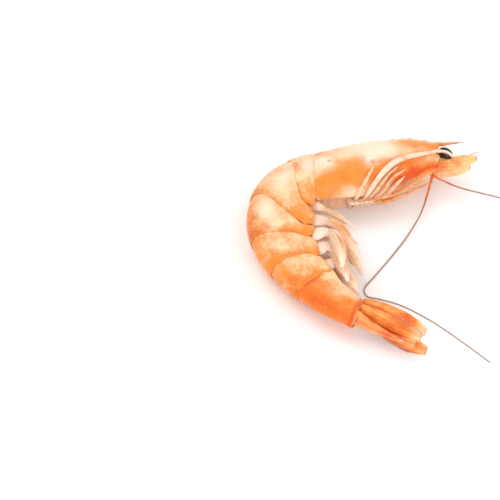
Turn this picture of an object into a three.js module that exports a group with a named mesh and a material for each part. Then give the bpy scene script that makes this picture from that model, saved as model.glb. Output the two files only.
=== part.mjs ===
// A cooked tiger prawn, whole and in its shell, lying on its left side with the tail curled under it.
// Millimetres, +Z up. The head points along +X, the back of the curl faces -X, the belly faces the inside of the curl.
import * as THREE from "three";

// Centre line of the body, from the eye socket to the end of the tail fan, as a chain of arcs.
const EYE_SOCKET = [69.5, 34.6]; // where the line starts, x and y
const HEADING_DEG = 192; // direction of the line at the start, towards the tail
const CHAIN = [
  { name: "carapace", length: 46.0, bend: -1.0 },
  { name: "abdomen_1", length: 7.0, bend: 20.0 },
  { name: "abdomen_2", length: 15.0, bend: 46.0 },
  { name: "abdomen_3", length: 14.5, bend: 33.0 },
  { name: "abdomen_4", length: 11.0, bend: 14.0 },
  { name: "abdomen_5", length: 11.5, bend: 10.0 },
  { name: "abdomen_6", length: 18.6, bend: 8.5 },
  { name: "tail_fan", length: 25.0, bend: 8.0 },
];
// Edges between the shell sections: where each crosses the line, and how far its end on the back sits
// forward and its end on the belly rearward. plate is how far the side plates hang there, as a share of the usual.
const SEAMS = [
  { at: 0, dorsal: 0, ventral: 6.0, plate: 1.0 },
  { at: 47.9, dorsal: 3.5, ventral: 4.2, plate: 1.0 },
  { at: 56.5, dorsal: 4.0, ventral: 14.0, plate: 1.2 },
  { at: 71.7, dorsal: 4.6, ventral: 16.9, plate: 1.35 },
  { at: 84.5, dorsal: 3.8, ventral: 6.3, plate: 1.15 },
  { at: 94.9, dorsal: 2.2, ventral: 5.0, plate: 1.02 },
  { at: 105.7, dorsal: 1.9, ventral: 2.2, plate: 1.0 },
  { at: 123.6, dorsal: -1.0, ventral: -1.0, plate: 1.0 },
];
const PLATE_CORNER = -0.75; // share of the reach below which the edges of the side plates run straight down
// The girth along the line: reach above and below it, half width, height over the ground, and roll in degrees.
const GIRTH = [
  { s: -12.0, up: 4.0, down: 4.0, half: 3.0, height: 11.0, roll: 30 },
  { s: 0.0, up: 6.2, down: 6.0, half: 5.0, height: 11.0, roll: 30 },
  { s: 4.0, up: 7.6, down: 6.6, half: 5.9, height: 11.0, roll: 30 },
  { s: 9.5, up: 9.2, down: 8.0, half: 7.2, height: 11.0, roll: 30 },
  { s: 17.0, up: 10.0, down: 10.4, half: 8.5, height: 11.0, roll: 29 },
  { s: 25.0, up: 10.2, down: 11.4, half: 9.0, height: 11.0, roll: 28 },
  { s: 34.0, up: 10.0, down: 11.4, half: 9.2, height: 10.8, roll: 26 },
  { s: 46.0, up: 9.4, down: 10.6, half: 9.0, height: 10.3, roll: 22 },
  { s: 53.0, up: 9.6, down: 10.7, half: 9.0, height: 9.9, roll: 17 },
  { s: 68.0, up: 10.0, down: 11.6, half: 8.7, height: 9.3, roll: 8 },
  { s: 82.5, up: 9.9, down: 10.8, half: 8.1, height: 8.6, roll: 3 },
  { s: 93.5, up: 9.4, down: 9.0, half: 7.3, height: 7.9, roll: 2 },
  { s: 105.0, up: 8.2, down: 6.8, half: 6.3, height: 7.3, roll: 3 },
  { s: 123.6, up: 5.8, down: 4.4, half: 4.6, height: 7.3, roll: 5 },
  { s: 149.0, up: 2.0, down: 2.0, half: 4.0, height: 7.4, roll: 8 },
];
// Half outlines of the cross section as shares of half width and reach, from the back down to the belly.
const CARAPACE_OUTLINE = [
  [0, 1], [0.22, 0.97], [0.5, 0.84], [0.78, 0.56], [0.95, 0.2], [1, -0.15],
  [0.96, -0.5], [0.84, -0.78], [0.66, -0.96], [0.48, -0.94], [0.3, -0.84], [0, -0.8],
];
const ABDOMEN_OUTLINE = [
  [0, 1], [0.3, 0.96], [0.6, 0.8], [0.84, 0.5], [0.97, 0.12], [1, -0.25],
  [0.95, -0.6], [0.84, -0.9], [0.72, -1], [0.58, -0.88], [0.4, -0.68], [0, -0.6],
];
const TAIL_OUTLINE = [
  [0, 1], [0.3, 0.93], [0.6, 0.76], [0.85, 0.48], [0.98, 0.15], [1, -0.2],
  [0.93, -0.52], [0.8, -0.76], [0.62, -0.9], [0.42, -0.97], [0.2, -1], [0, -1],
];
const OUTLINE_STEPS = 15; // points on each side of a cross section
const SEAM_GAP = 0.6; // clearance between neighbouring shell sections along the line
const FRONT_OF_TILE = 0.95; // each abdominal shell starts narrower and widens over the next one
const GROUND = 0.35; // the shell is flattened against the ground up to this height, which then becomes zero
const BOX_CENTRE = [53.3, -3.8]; // x and y of the middle of the whole prawn, moved to the origin

const COLOURS = {
  shell: 0xf3b27a,
  shellDeep: 0xee8a3c,
  tail: 0xf4811f,
  cream: 0xf6d3ae,
  eye: 0x16100e,
  scale: 0xf1a055,
  feeler: 0x9a5b45,
};

// Curves and frames of the body

const lineEnds = [0];
for (const part of CHAIN) {
  lineEnds.push(lineEnds[lineEnds.length - 1] + part.length);
}

function smoothAlong(table, key, s) {
  const last = table.length - 1;
  const x = Math.min(Math.max(s, table[0].s), table[last].s);
  let i = 0;
  while (i < last - 1 && table[i + 1].s < x) i += 1;
  const slope = (k) => {
    const a = table[Math.max(k - 1, 0)];
    const b = table[Math.min(k + 1, last)];
    return (b[key] - a[key]) / (b.s - a.s);
  };
  const step = table[i + 1].s - table[i].s;
  const t = (x - table[i].s) / step;
  const t2 = t * t;
  const t3 = t2 * t;
  return (
    (2 * t3 - 3 * t2 + 1) * table[i][key] +
    (t3 - 2 * t2 + t) * step * slope(i) +
    (3 * t2 - 2 * t3) * table[i + 1][key] +
    (t3 - t2) * step * slope(i + 1)
  );
}

function lineAt(s) {
  let [x, y] = EYE_SOCKET;
  let angle = THREE.MathUtils.degToRad(HEADING_DEG);
  let left = s;
  if (s > 0) {
    for (const part of CHAIN) {
      const bend = THREE.MathUtils.degToRad(part.bend);
      const go = Math.min(left, part.length);
      const turned = angle + (bend * go) / part.length;
      x += (part.length / bend) * (Math.sin(turned) - Math.sin(angle));
      y -= (part.length / bend) * (Math.cos(turned) - Math.cos(angle));
      angle = turned;
      left -= go;
      if (left <= 1e-9) break;
    }
  }
  return { x: x + left * Math.cos(angle), y: y + left * Math.sin(angle), angle };
}

// Axes at s: forward, up through the back, and out through the right side, which faces the sky.
function axesAt(s) {
  const { x, y, angle } = lineAt(s);
  const roll = THREE.MathUtils.degToRad(smoothAlong(GIRTH, "roll", s));
  const origin = new THREE.Vector3(x, y, smoothAlong(GIRTH, "height", s));
  const tail = new THREE.Vector3(Math.cos(angle), Math.sin(angle), 0);
  const outward = new THREE.Vector3(tail.y, -tail.x, 0);
  const sky = new THREE.Vector3(0, 0, 1);
  const up = outward.clone().multiplyScalar(Math.cos(roll)).addScaledVector(sky, Math.sin(roll));
  const right = sky.clone().multiplyScalar(Math.cos(roll)).addScaledVector(outward, -Math.sin(roll));
  return { origin, forward: tail.negate(), up, right };
}

// A point given by its place along the line, its offset to the right and its offset towards the back.
function bodyPoint(s, w, h) {
  const { origin, up, right } = axesAt(s);
  return origin.clone().addScaledVector(right, w).addScaledVector(up, h);
}

function outlinePoint(outline, t) {
  const x = t * (outline.length - 1);
  const i = Math.min(Math.floor(x), outline.length - 2);
  const f = x - i;
  const mirrored = (p) => [-p[0], p[1]];
  const p0 = i > 0 ? outline[i - 1] : mirrored(outline[1]);
  const p1 = outline[i];
  const p2 = outline[i + 1];
  const p3 = i + 2 < outline.length ? outline[i + 2] : mirrored(outline[outline.length - 2]);
  return [0, 1].map((k) => 0.5 * (
    2 * p1[k] + (p2[k] - p0[k]) * f + (2 * p0[k] - 5 * p1[k] + 4 * p2[k] - p3[k]) * f * f +
    (3 * p1[k] - p0[k] - 3 * p2[k] + p3[k]) * f * f * f));
}

function outlineAt(s) {
  if (s <= lineEnds[1]) return CARAPACE_OUTLINE;
  if (s < lineEnds[6]) return ABDOMEN_OUTLINE;
  const share = Math.min(1, (s - lineEnds[6]) / 6);
  return ABDOMEN_OUTLINE.map((p, i) => p.map((v, k) => v + share * (TAIL_OUTLINE[i][k] - v)));
}

function sweptEdge(k, h) {
  const { at, dorsal, ventral } = SEAMS[k];
  const low = k === 0 ? h : Math.max(h, PLATE_CORNER);
  return at - ((dorsal + ventral) / 2) * low + ((ventral - dorsal) / 2) * low * low;
}

function onGround(point) {
  point.z = Math.max(point.z, GROUND);
  return point;
}

// Solids made of rings

// Closes a row of rings, each a list of points in the same order, with a cap at either end.
function skin(rings) {
  const count = rings[0].length;
  const positions = rings.flat().flatMap((p) => [p.x, p.y, p.z]);
  const faces = [];
  for (let i = 0; i + 1 < rings.length; i += 1) {
    for (let j = 0; j < count; j += 1) {
      const a = i * count + j;
      const b = i * count + ((j + 1) % count);
      faces.push(a, b, b + count, a, b + count, a + count);
    }
  }
  [rings[0], rings[rings.length - 1]].forEach((ring, end) => {
    const middle = new THREE.Vector3();
    ring.forEach((p) => middle.addScaledVector(p, 1 / count));
    const centre = positions.length / 3;
    positions.push(middle.x, middle.y, middle.z);
    const base = end ? (rings.length - 1) * count : 0;
    for (let j = 0; j < count; j += 1) {
      const next = (j + 1) % count;
      if (end) faces.push(base + j, base + next, centre);
      else faces.push(base + next, base + j, centre);
    }
  });
  let volume = 0;
  const corner = (n) => new THREE.Vector3().fromArray(positions, faces[n] * 3);
  for (let n = 0; n < faces.length; n += 3) volume += corner(n).dot(corner(n + 1).cross(corner(n + 2)));
  if (volume < 0) faces.reverse();
  const geometry = new THREE.BufferGeometry();
  geometry.setAttribute("position", new THREE.Float32BufferAttribute(positions, 3));
  geometry.setIndex(faces);
  geometry.computeVertexNormals();
  return geometry;
}

// A limb along a smooth path. Its breadth lies along the direction across, or level where none is given,
// and its thickness at right angles to it.
function limb({ path, across, rings, sides, breadth, thickness }) {
  const curve = new THREE.CatmullRomCurve3(path, false, "centripetal");
  const loops = [];
  for (let i = 0; i <= rings; i += 1) {
    const t = i / rings;
    const point = curve.getPointAt(t);
    const tangent = curve.getTangentAt(t);
    const side = across || new THREE.Vector3(-tangent.y, tangent.x, 0);
    const wide = side.clone().addScaledVector(tangent, -side.dot(tangent)).normalize();
    const thick = tangent.clone().cross(wide);
    const loop = [];
    for (let j = 0; j < sides; j += 1) {
      const a = (2 * Math.PI * j) / sides;
      const q = point.clone().addScaledVector(wide, Math.cos(a) * breadth(t));
      loop.push(onGround(q.addScaledVector(thick, Math.sin(a) * (thickness || breadth)(t))));
    }
    loops.push(loop);
  }
  return skin(loops);
}

const taper = (from, to) => (t) => from + (to - from) * t;
const swell = (root, widest, tip, at) => (t) => (
  t < at ? root + (widest - root) * (t / at) : widest + (tip - widest) * ((t - at) / (1 - at)) ** 1.5);
// Width of a leaf: narrow at the root, widest at the share given, closing to a blunt tip.
const leaf = (widest, at, root = 0.35, tip = 0.25) => (t) => {
  const rise = t < at ? t / at : (1 - t) / (1 - at);
  const floor = t < at ? root : tip;
  return widest * (floor + (1 - floor) * Math.sin((Math.PI / 2) * Math.min(rise, 1)) ** 0.8);
};

const prawn = new THREE.Group();
const body = new THREE.Group();
body.position.set(-BOX_CENTRE[0], -BOX_CENTRE[1], -GROUND);
prawn.add(body);

function add(name, geometry, colour, roughness = 0.4) {
  const material = new THREE.MeshStandardMaterial({ color: colour, roughness, metalness: 0 });
  const mesh = new THREE.Mesh(geometry, material);
  mesh.name = name;
  body.add(mesh);
}

// Carapace with its toothed crest and rostrum

const CREST = [
  { s: -11.8, top: 0.2 }, { s: -6, top: 0.4 }, { s: 0, top: 0.7 }, { s: 3, top: 0.8 }, { s: 8.5, top: 0.5 },
  { s: 12, top: 0.3 }, { s: 20, top: 0.1 }, { s: 28, top: 0 }, { s: 60, top: 0 },
];
const CREST_TEETH = [20.5, 15, 11.5, 8.5, 3, -2.5];
const TOOTH_HEIGHT = 0.35;
const TOOTH_LENGTH = 2.4;
const CREST_BREADTH = 0.12; // share of the half outline over which the crest rises
const FRONT_PINCH = 0.06;
// The rostrum is a blade that grows out of the crest: its top over the line, its depth and half its width.
const ROSTRUM = {
  tip: -11.8,
  top: [6.5, 5.1],
  depth: [2.6, 0.25],
  wide: [0.95, 0.18],
};

function crestAt(s) {
  let top = smoothAlong(CREST, "top", s);
  for (const tooth of CREST_TEETH) {
    const back = (s - tooth) / TOOTH_LENGTH; // teeth lean forward: steep in front, sloping behind
    if (back >= 0 && back < 1) top += TOOTH_HEIGHT * (1 - back);
  }
  return top;
}

function carapaceRing(u) {
  // the shell closes in a little at its front edge
  const k = 1 - FRONT_PINCH * (1 - Math.min(1, (u * CHAIN[0].length) / 3)) ** 2;
  const loop = [];
  for (let n = -OUTLINE_STEPS; n < OUTLINE_STEPS; n += 1) {
    const t = Math.abs(n) / OUTLINE_STEPS;
    const side = n < 0 ? -1 : 1;
    const [w, h] = outlinePoint(CARAPACE_OUTLINE, t);
    const front = sweptEdge(0, h);
    const rear = sweptEdge(1, h) - SEAM_GAP / 2;
    const s = front + u * (rear - front);
    const reach = smoothAlong(GIRTH, h > 0 ? "up" : "down", s);
    const ridge = crestAt(s) * Math.max(0, 1 - t / CREST_BREADTH);
    const half = smoothAlong(GIRTH, "half", s) * k;
    loop.push(onGround(bodyPoint(s, side * w * half, h * reach * k + ridge)));
  }
  return loop;
}

function rostrumRing(s) {
  const share = s / ROSTRUM.tip;
  const ridge = share < 0.98 ? crestAt(s) / 2 : 0; // the point itself has no teeth
  const top = THREE.MathUtils.lerp(...ROSTRUM.top, share ** 0.8) + ridge;
  const halfDepth = THREE.MathUtils.lerp(...ROSTRUM.depth, share ** 0.7) / 2;
  const wide = THREE.MathUtils.lerp(...ROSTRUM.wide, share);
  const loop = [];
  for (let n = -OUTLINE_STEPS; n < OUTLINE_STEPS; n += 1) {
    const a = (Math.PI * n) / OUTLINE_STEPS;
    loop.push(bodyPoint(s, Math.sin(a) * wide, top - halfDepth + Math.cos(a) * halfDepth));
  }
  return loop;
}

// Rings stand at either end of every tooth's steep front, and in between.
const TOOTH_FRONT = 0.02;
const withTeeth = (stations, from, to) => {
  const teeth = CREST_TEETH.filter((s) => s > from && s < to);
  return [...stations, ...teeth, ...teeth.map((s) => s - TOOTH_FRONT)].sort((a, b) => a - b);
};
const crestEnd = sweptEdge(1, 1) - SEAM_GAP / 2;
const rostrumStations = withTeeth([ROSTRUM.tip, -9.5, -7, -4.9, -1.2, -0.15], ROSTRUM.tip, 0);
const crestStations = withTeeth([0, 5.4, 17.5, 23, 27, 31, 35, 39, 42, crestEnd], 0, crestEnd);
add("carapace", skin([
  ...rostrumStations.map(rostrumRing),
  ...crestStations.map((s) => carapaceRing(s / crestEnd)),
]), COLOURS.shell);

// The six abdominal segments, each with side plates that hang down and lean towards the tail

const SIDE_PLATE_SHORTENING = 0.24; // at the front corner of a plate
const PLATE_ROOT = -0.3; // share of the reach at which the side plates begin

function plateAt(k, u) {
  return THREE.MathUtils.lerp(SEAMS[k].plate, SEAMS[k + 1].plate, u);
}

function abdomenRing(k, u) {
  const mid = lineEnds[k] + u * CHAIN[k].length;
  const outline = outlineAt(mid);
  const tile = THREE.MathUtils.lerp(FRONT_OF_TILE, 1, Math.min(1, u / 0.3));
  const lobe = plateAt(k, u) * (1 - SIDE_PLATE_SHORTENING * Math.abs(u - 0.62) ** 1.5 / 0.62 ** 1.5);
  const loop = [];
  for (let n = -OUTLINE_STEPS; n < OUTLINE_STEPS; n += 1) {
    const side = n < 0 ? -1 : 1;
    const [w, h] = outlinePoint(outline, Math.abs(n) / OUTLINE_STEPS);
    const front = sweptEdge(k, h) + SEAM_GAP / 2;
    const rear = sweptEdge(k + 1, h) - SEAM_GAP / 2;
    const s = front + u * (rear - front);
    const reach = smoothAlong(GIRTH, h > 0 ? "up" : "down", s);
    const half = smoothAlong(GIRTH, "half", s);
    const hang = h < PLATE_ROOT && k < 6 ? PLATE_ROOT + (h - PLATE_ROOT) * lobe : h;
    loop.push(onGround(bodyPoint(s, side * w * half * tile, hang * reach * tile)));
  }
  return loop;
}

for (let k = 1; k <= 6; k += 1) {
  const stations = k === 1 ? [0, 0.3, 0.65, 1] : [0, 0.15, 0.32, 0.55, 0.8, 1];
  add(`abdomen_${k}`, skin(stations.map((u) => abdomenRing(k, u))), k < 6 ? COLOURS.shell : COLOURS.shellDeep);
}

// Front of the head below the eyes, from which the feelers grow

const HEAD_FRONT = { half: 3.9, top: 0.3, bottom: -5.2, nose: -2.6 };

function headFrontRing(u) {
  const loop = [];
  const steps = 18;
  for (let n = 0; n < steps; n += 1) {
    const a = (2 * Math.PI * n) / steps;
    const middle = (HEAD_FRONT.top + HEAD_FRONT.bottom) / 2;
    const shrink = 1 - 0.35 * u ** 2;
    const h = middle + Math.cos(a) * ((HEAD_FRONT.top - HEAD_FRONT.bottom) / 2) * shrink;
    const w = Math.sin(a) * HEAD_FRONT.half * shrink;
    const wall = sweptEdge(0, Math.min(0, h / 6.2)) - 0.45;
    loop.push(bodyPoint(wall + u * (HEAD_FRONT.nose - wall), w, h));
  }
  return loop;
}
add("head_front", skin([0, 0.35, 0.7, 1].map(headFrontRing)), COLOURS.shellDeep);

// Paired parts of the head

const SIDES = [["right", 1], ["left", -1]];
const EYE = { s: -2.75, w: 4.6, h: 0.8, long: 2.6, radius: 1.95, tiltDeg: -40 };
const STALK = { s: -0.35, w: 1.7, h: 1.7, radius: 0.75, gap: 0.35 };

for (const [side, sign] of SIDES) {
  const eyePoint = bodyPoint(EYE.s, sign * EYE.w, EYE.h);
  const { forward, up, right } = axesAt(EYE.s);
  const tilt = THREE.MathUtils.degToRad(EYE.tiltDeg);
  const along = forward.clone().multiplyScalar(Math.cos(tilt)).addScaledVector(up, Math.sin(tilt));
  const eye = new THREE.SphereGeometry(EYE.radius, 14, 10);
  eye.scale(EYE.long / EYE.radius, 1, 1);
  eye.applyMatrix4(new THREE.Matrix4().makeBasis(along, right.clone().cross(along), right));
  eye.translate(eyePoint.x, eyePoint.y, eyePoint.z);
  add(`eye_${side}`, eye, COLOURS.eye, 0.15);

  const stalkStart = bodyPoint(STALK.s, sign * STALK.w, STALK.h);
  const toEye = eyePoint.clone().sub(stalkStart);
  const stalkEnd = stalkStart.clone().addScaledVector(toEye, 1 - (EYE.radius + STALK.gap) / toEye.length());
  add(`eyestalk_${side}`, limb({
    path: [stalkStart, stalkStart.clone().lerp(stalkEnd, 0.5), stalkEnd],
    across: axesAt(0).up, rings: 4, sides: 8,
    breadth: taper(STALK.radius * 0.55, STALK.radius * 0.85),
  }), COLOURS.cream);

  add(`antennal_scale_${side}`, limb({
    path: [[0.9, 4.6, -3.6], [-3, 5.0, -3.9], [-8, 5.0, -3.7], [-13.6, 4.5, -3.4]].map(
      ([s, w, h]) => bodyPoint(s, sign * w, h)),
    across: axesAt(-5).up, rings: 9, sides: 12,
    breadth: leaf(2.5, 0.62, 0.55, 0.3), thickness: leaf(0.5, 0.4, 0.6, 0.35),
  }), COLOURS.scale);

  add(`antennule_${side}`, limb({
    path: [[-3.1, 1.6, -1.8], [-6, 1.7, -1.5], [-10, 2.2, -1.2], [-15.5, 3.4, -0.9]].map(
      ([s, w, h]) => bodyPoint(s, sign * w, h)),
    across: axesAt(-5).up, rings: 9, sides: 8,
    breadth: (t) => (t < 0.5 ? 0.85 - 0.2 * t : 0.75 - 0.45 * t),
  }), COLOURS.scale);
}

// Long feelers: a stout base below the head, then a whip that trails over the ground

const FEELER_ROOT_RADIUS = 0.75;
const FEELER_TIP_RADIUS = 0.25;
const FEELER_ROOT_SHARE = 0.12; // of its length, up to where the stout base ends
const FEELERS = {
  right: [
    [68.2, 29.1, 7.7], [76.4, 25.0, 6.6], [85.0, 23.3, 5.0], [92.4, 22.2, 3.5], [99.8, 19.5, 1.7],
    [106.1, 11.4, 0.7], [107.4, -2.8, 0.55], [103.4, -18.7, 0.5], [96.0, -30.9, 0.4],
  ],
  left: [
    [67.1, 27.9, 5.6], [65.3, 22.3, 4.2], [62.6, 15.2, 2.6], [57.3, 6.1, 1.1], [51.2, -2.8, 0.65],
    [44.1, -12.5, 0.6], [40.3, -18.2, 0.6], [41.3, -21.6, 0.6], [45.1, -22.9, 0.6], [51.9, -25.3, 0.55],
    [61.6, -31.8, 0.5], [70.9, -40.2, 0.45], [79.9, -49.2, 0.4],
  ],
};
for (const [side] of SIDES) {
  add(`antenna_${side}`, limb({
    path: FEELERS[side].map((p) => new THREE.Vector3(...p)),
    across: new THREE.Vector3(0, 0, 1), rings: side === "left" ? 34 : 26, sides: 6,
    breadth: (t) => Math.max(FEELER_TIP_RADIUS, t < FEELER_ROOT_SHARE ? FEELER_ROOT_RADIUS - 3 * t : 0.4 - 0.2 * t),
  }), COLOURS.feeler);
}

// Legs and jaw legs folded forward over the right flank and under the belly

// Point on the skin of the right flank: s along the line, t from the back (0) to the belly (1), lifted off it.
function flankPoint(s, t, lift) {
  const at = (d) => {
    const [w, h] = outlinePoint(CARAPACE_OUTLINE, Math.min(1, Math.max(0, t + d)));
    const reach = smoothAlong(GIRTH, h > 0 ? "up" : "down", s);
    return [w * smoothAlong(GIRTH, "half", s), h * reach];
  };
  const [w, h] = at(0);
  const [w0, h0] = at(-0.03);
  const [w1, h1] = at(0.03);
  const run = Math.hypot(w1 - w0, h1 - h0);
  return bodyPoint(s, w + ((h0 - h1) / run) * lift, h + ((w1 - w0) / run) * lift);
}

const LEG_ROOT = { w: 1.7, h: -10.4, breadth: 0.6 };
const LEG_THICKNESS = 0.42;
const BELLY_EDGE = { t: 0.785, lift: 1.3 }; // where the legs bend round the lower edge of the carapace
// Draped legs, rear one first: half breadth, distance off the shell, and [s, t] down the flank.
const RIGHT_LEGS = [
  {
    base: 36.0, wide: 0.7, lift: 0.9,
    drape: [[34.6, 0.73], [33.6, 0.672], [31.3, 0.585], [29.4, 0.525], [26.8, 0.455]],
  },
  {
    base: 34.2, wide: 1.15, lift: 1.4,
    drape: [[31.9, 0.74], [29.9, 0.662], [26.4, 0.562], [23.3, 0.5], [19.9, 0.452], [16.6, 0.422], [12.5, 0.4],
      [8.4, 0.386], [4.3, 0.374], [0.9, 0.355]],
  },
  {
    base: 32.4, wide: 0.7, lift: 0.8,
    drape: [[29.3, 0.72], [26.8, 0.648], [24.2, 0.58], [21.6, 0.525], [18.6, 0.486]],
  },
  {
    base: 30.6, wide: 0.7, lift: 0.8,
    drape: [[27.4, 0.745], [24.2, 0.665], [22.1, 0.602], [19.8, 0.556], [16.4, 0.525]],
  },
  {
    base: 28.8, wide: 0.95, lift: 0.95,
    drape: [[25.9, 0.79], [23.9, 0.744], [21.7, 0.685], [19.6, 0.64], [17.0, 0.595]],
  },
];
RIGHT_LEGS.forEach(({ base, wide, lift, drape }, n) => {
  const path = [
    bodyPoint(base, LEG_ROOT.w, LEG_ROOT.h),
    bodyPoint(base - 0.4, LEG_ROOT.w + 1.8, LEG_ROOT.h - 1.7),
    flankPoint(base - 1.0, BELLY_EDGE.t, BELLY_EDGE.lift),
    ...drape.map(([s, t]) => flankPoint(s, t, lift)),
  ];
  // the longest leg runs on past the carapace and crosses the eye
  if (n === 1) path.push(bodyPoint(-2.4, 7.3, 1.0), bodyPoint(-4.6, 7.2, -0.8));
  add(`leg_right_${n + 1}`, limb({
    path, rings: n === 1 ? 24 : 16, sides: 7,
    breadth: swell(LEG_ROOT.breadth, wide, wide * 0.4, 0.5), thickness: () => LEG_THICKNESS,
  }), COLOURS.cream);
});

const LEFT_LANES = [-5.4, -4.2, -3.0, -1.75, -0.45]; // side offset at which each left leg runs forward
LEFT_LANES.forEach((lane, n) => {
  const base = RIGHT_LEGS[n].base;
  const floorOf = (s) => -0.84 * smoothAlong(GIRTH, "down", s) - (lane < -3.5 ? 1.9 : 1.2);
  const reach = 14 + 2 * n;
  const path = [
    bodyPoint(base, Math.max(lane + 0.6, -1.0), LEG_ROOT.h),
    bodyPoint(base - 0.7, (lane - 1.0) / 2 - 0.2, LEG_ROOT.h - 1.0),
    ...[1.6, 6, 11, reach].map((d) => bodyPoint(base - d, lane, floorOf(base - d))),
  ];
  add(`leg_left_${n + 1}`, limb({
    path, across: new THREE.Vector3(0, 0, 1), rings: 14, sides: 6, breadth: taper(0.55, 0.3),
  }), COLOURS.cream);
});

// Jaw legs: the foremost pair, lying under the head
const JAW_LEGS = {
  right: [
    bodyPoint(26.0, 3.0, -11.2),
    ...[[24.0, 0.81], [20.0, 0.775], [16.4, 0.72], [11.5, 0.69], [6.8, 0.675]].map(([s, t]) => flankPoint(s, t, 1.1)),
  ],
  left: [[25.8, -11.2], [24.2, -12.8], [18, -12.1], [11, -10.1], [5, -8.4]].map(([s, h]) => bodyPoint(s, 1.0, h)),
};
for (const [side] of SIDES) {
  add(`maxilliped_${side}`, limb({
    path: JAW_LEGS[side], across: axesAt(15).up, rings: 14, sides: 7, breadth: taper(0.65, 0.35),
  }), COLOURS.cream);
}

// Swimmerets: a broad stalk and a long paddle under each of the first five abdominal segments

const SWIMMERETS = [
  { right: [[31.0, 7.1, 11.5], [35.1, 2.8, 11.5], [38.1, 0.4, 11.0]], wide: 1.3, stalk: 2.0 },
  { right: [[29.6, 1.2, 13.0], [34.7, -7.7, 13.0], [38.5, -16.3, 12.0]], wide: 1.9, stalk: 2.4 },
  { right: [[27.9, -4.4, 14.6], [31.0, -12.6, 15.6], [31.2, -21.5, 14.6]], wide: 2.0, stalk: 2.1 },
  { right: [[27.8, -8.8, 11.9], [32.6, -17.2, 11.6], [35.4, -25.0, 11.0]], wide: 1.9, stalk: 1.9 },
  { right: [[30.0, -14.4, 9.8], [35.4, -19.4, 8.6], [39.6, -26.4, 7.8]], wide: 1.7, stalk: 1.6 },
];
const LEFT_DROP = 7.4; // the left row hangs lower by this much
const STALK_SHARE = 0.34; // of a swimmeret's length
const STALK_THICKNESS = 0.85;
// The stalk swells from its root, ends in a narrow joint, and the paddle grows out of that.
const stalkThenPaddle = (stalk, paddle) => (t) => {
  if (t >= STALK_SHARE) return paddle((t - STALK_SHARE) / (1 - STALK_SHARE));
  const x = t / STALK_SHARE;
  return stalk * (0.55 + 0.45 * Math.min(1, x / 0.5)) * (1 - 0.35 * x ** 6);
};
const ROOT_CLEARANCE = 1.45; // from the belly to the middle of a stalk's root
SWIMMERETS.forEach(({ right, wide, stalk }, n) => {
  const k = n + 1;
  const middle = (sweptEdge(k, PLATE_CORNER) + sweptEdge(k + 1, PLATE_CORNER)) / 2;
  for (const [side, sign] of SIDES) {
    const belly = PLATE_ROOT * (1 + 1.07 * plateAt(k, 0.5)) * smoothAlong(GIRTH, "down", middle);
    const root = bodyPoint(middle, sign * 2.6, belly - ROOT_CLEARANCE);
    const path = [root, ...right.map(([x, y, z]) => (
      sign > 0 ? new THREE.Vector3(x, y, z) : new THREE.Vector3(x + 1.5, y - 1.0, z - LEFT_DROP)))];
    add(`swimmeret_${side}_${k}`, limb({
      path, rings: 13, sides: 8,
      breadth: stalkThenPaddle(stalk, leaf(wide, 0.5, 0.55, 0.25)),
      thickness: stalkThenPaddle(STALK_THICKNESS, leaf(0.5, 0.4, 0.8, 0.4)),
    }), COLOURS.cream);
  }
});

// Tail fan: the pointed telson in the middle and two blades on either side

const FAN_ROOT = lineEnds[7] + 1.4;
add("telson", limb({
  path: [[0, -0.2, 1.5], [6, -0.1, 1.9], [12, 0.1, 1.9], [17.5, 0.4, 1.7]].map(
    ([d, w, h]) => bodyPoint(FAN_ROOT + d, w, h)),
  across: axesAt(FAN_ROOT + 8).right, rings: 9, sides: 12,
  breadth: (t) => 3.5 * (1 - t) ** 0.85 + 0.3, thickness: (t) => 0.9 * (1 - t) + 0.25,
}), COLOURS.tail);
const FAN_BLADES = [
  {
    name: "uropod_inner", wide: 3.1, at: 0.55, root: 0.7,
    right: [[0.4, 2.3, -0.2], [6, 3.2, -0.2], [13, 3.3, -0.2], [20.5, 3.2, 0.1]],
    left: [[0.4, -1.3, -1.5], [6, -1.8, -1.5], [13, -2.0, -1.3], [20.5, -1.9, -1.0]],
  },
  {
    name: "uropod_outer", wide: 3.4, at: 0.58, root: 0.62,
    right: [[0.4, 3.5, -2.1], [6, 4.9, -2.0], [14, 5.7, -1.7], [22.8, 5.5, -1.5]],
    left: [[0.4, -1.8, -2.8], [6, -3.0, -2.8], [14, -3.8, -2.5], [24.2, -3.9, -2.0]],
  },
];
for (const { name, wide, at, root, ...paths } of FAN_BLADES) {
  for (const [side] of SIDES) {
    add(`${name}_${side}`, limb({
      path: paths[side].map(([d, w, h]) => bodyPoint(FAN_ROOT + d, w, h)),
      across: axesAt(FAN_ROOT + 10).right, rings: 11, sides: 12,
      breadth: leaf(wide, at, root, 0.3), thickness: leaf(0.5, 0.3, 0.8, 0.4),
    }), COLOURS.tail);
  }
}

export default prawn;
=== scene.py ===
import math
from functools import partial

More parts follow.
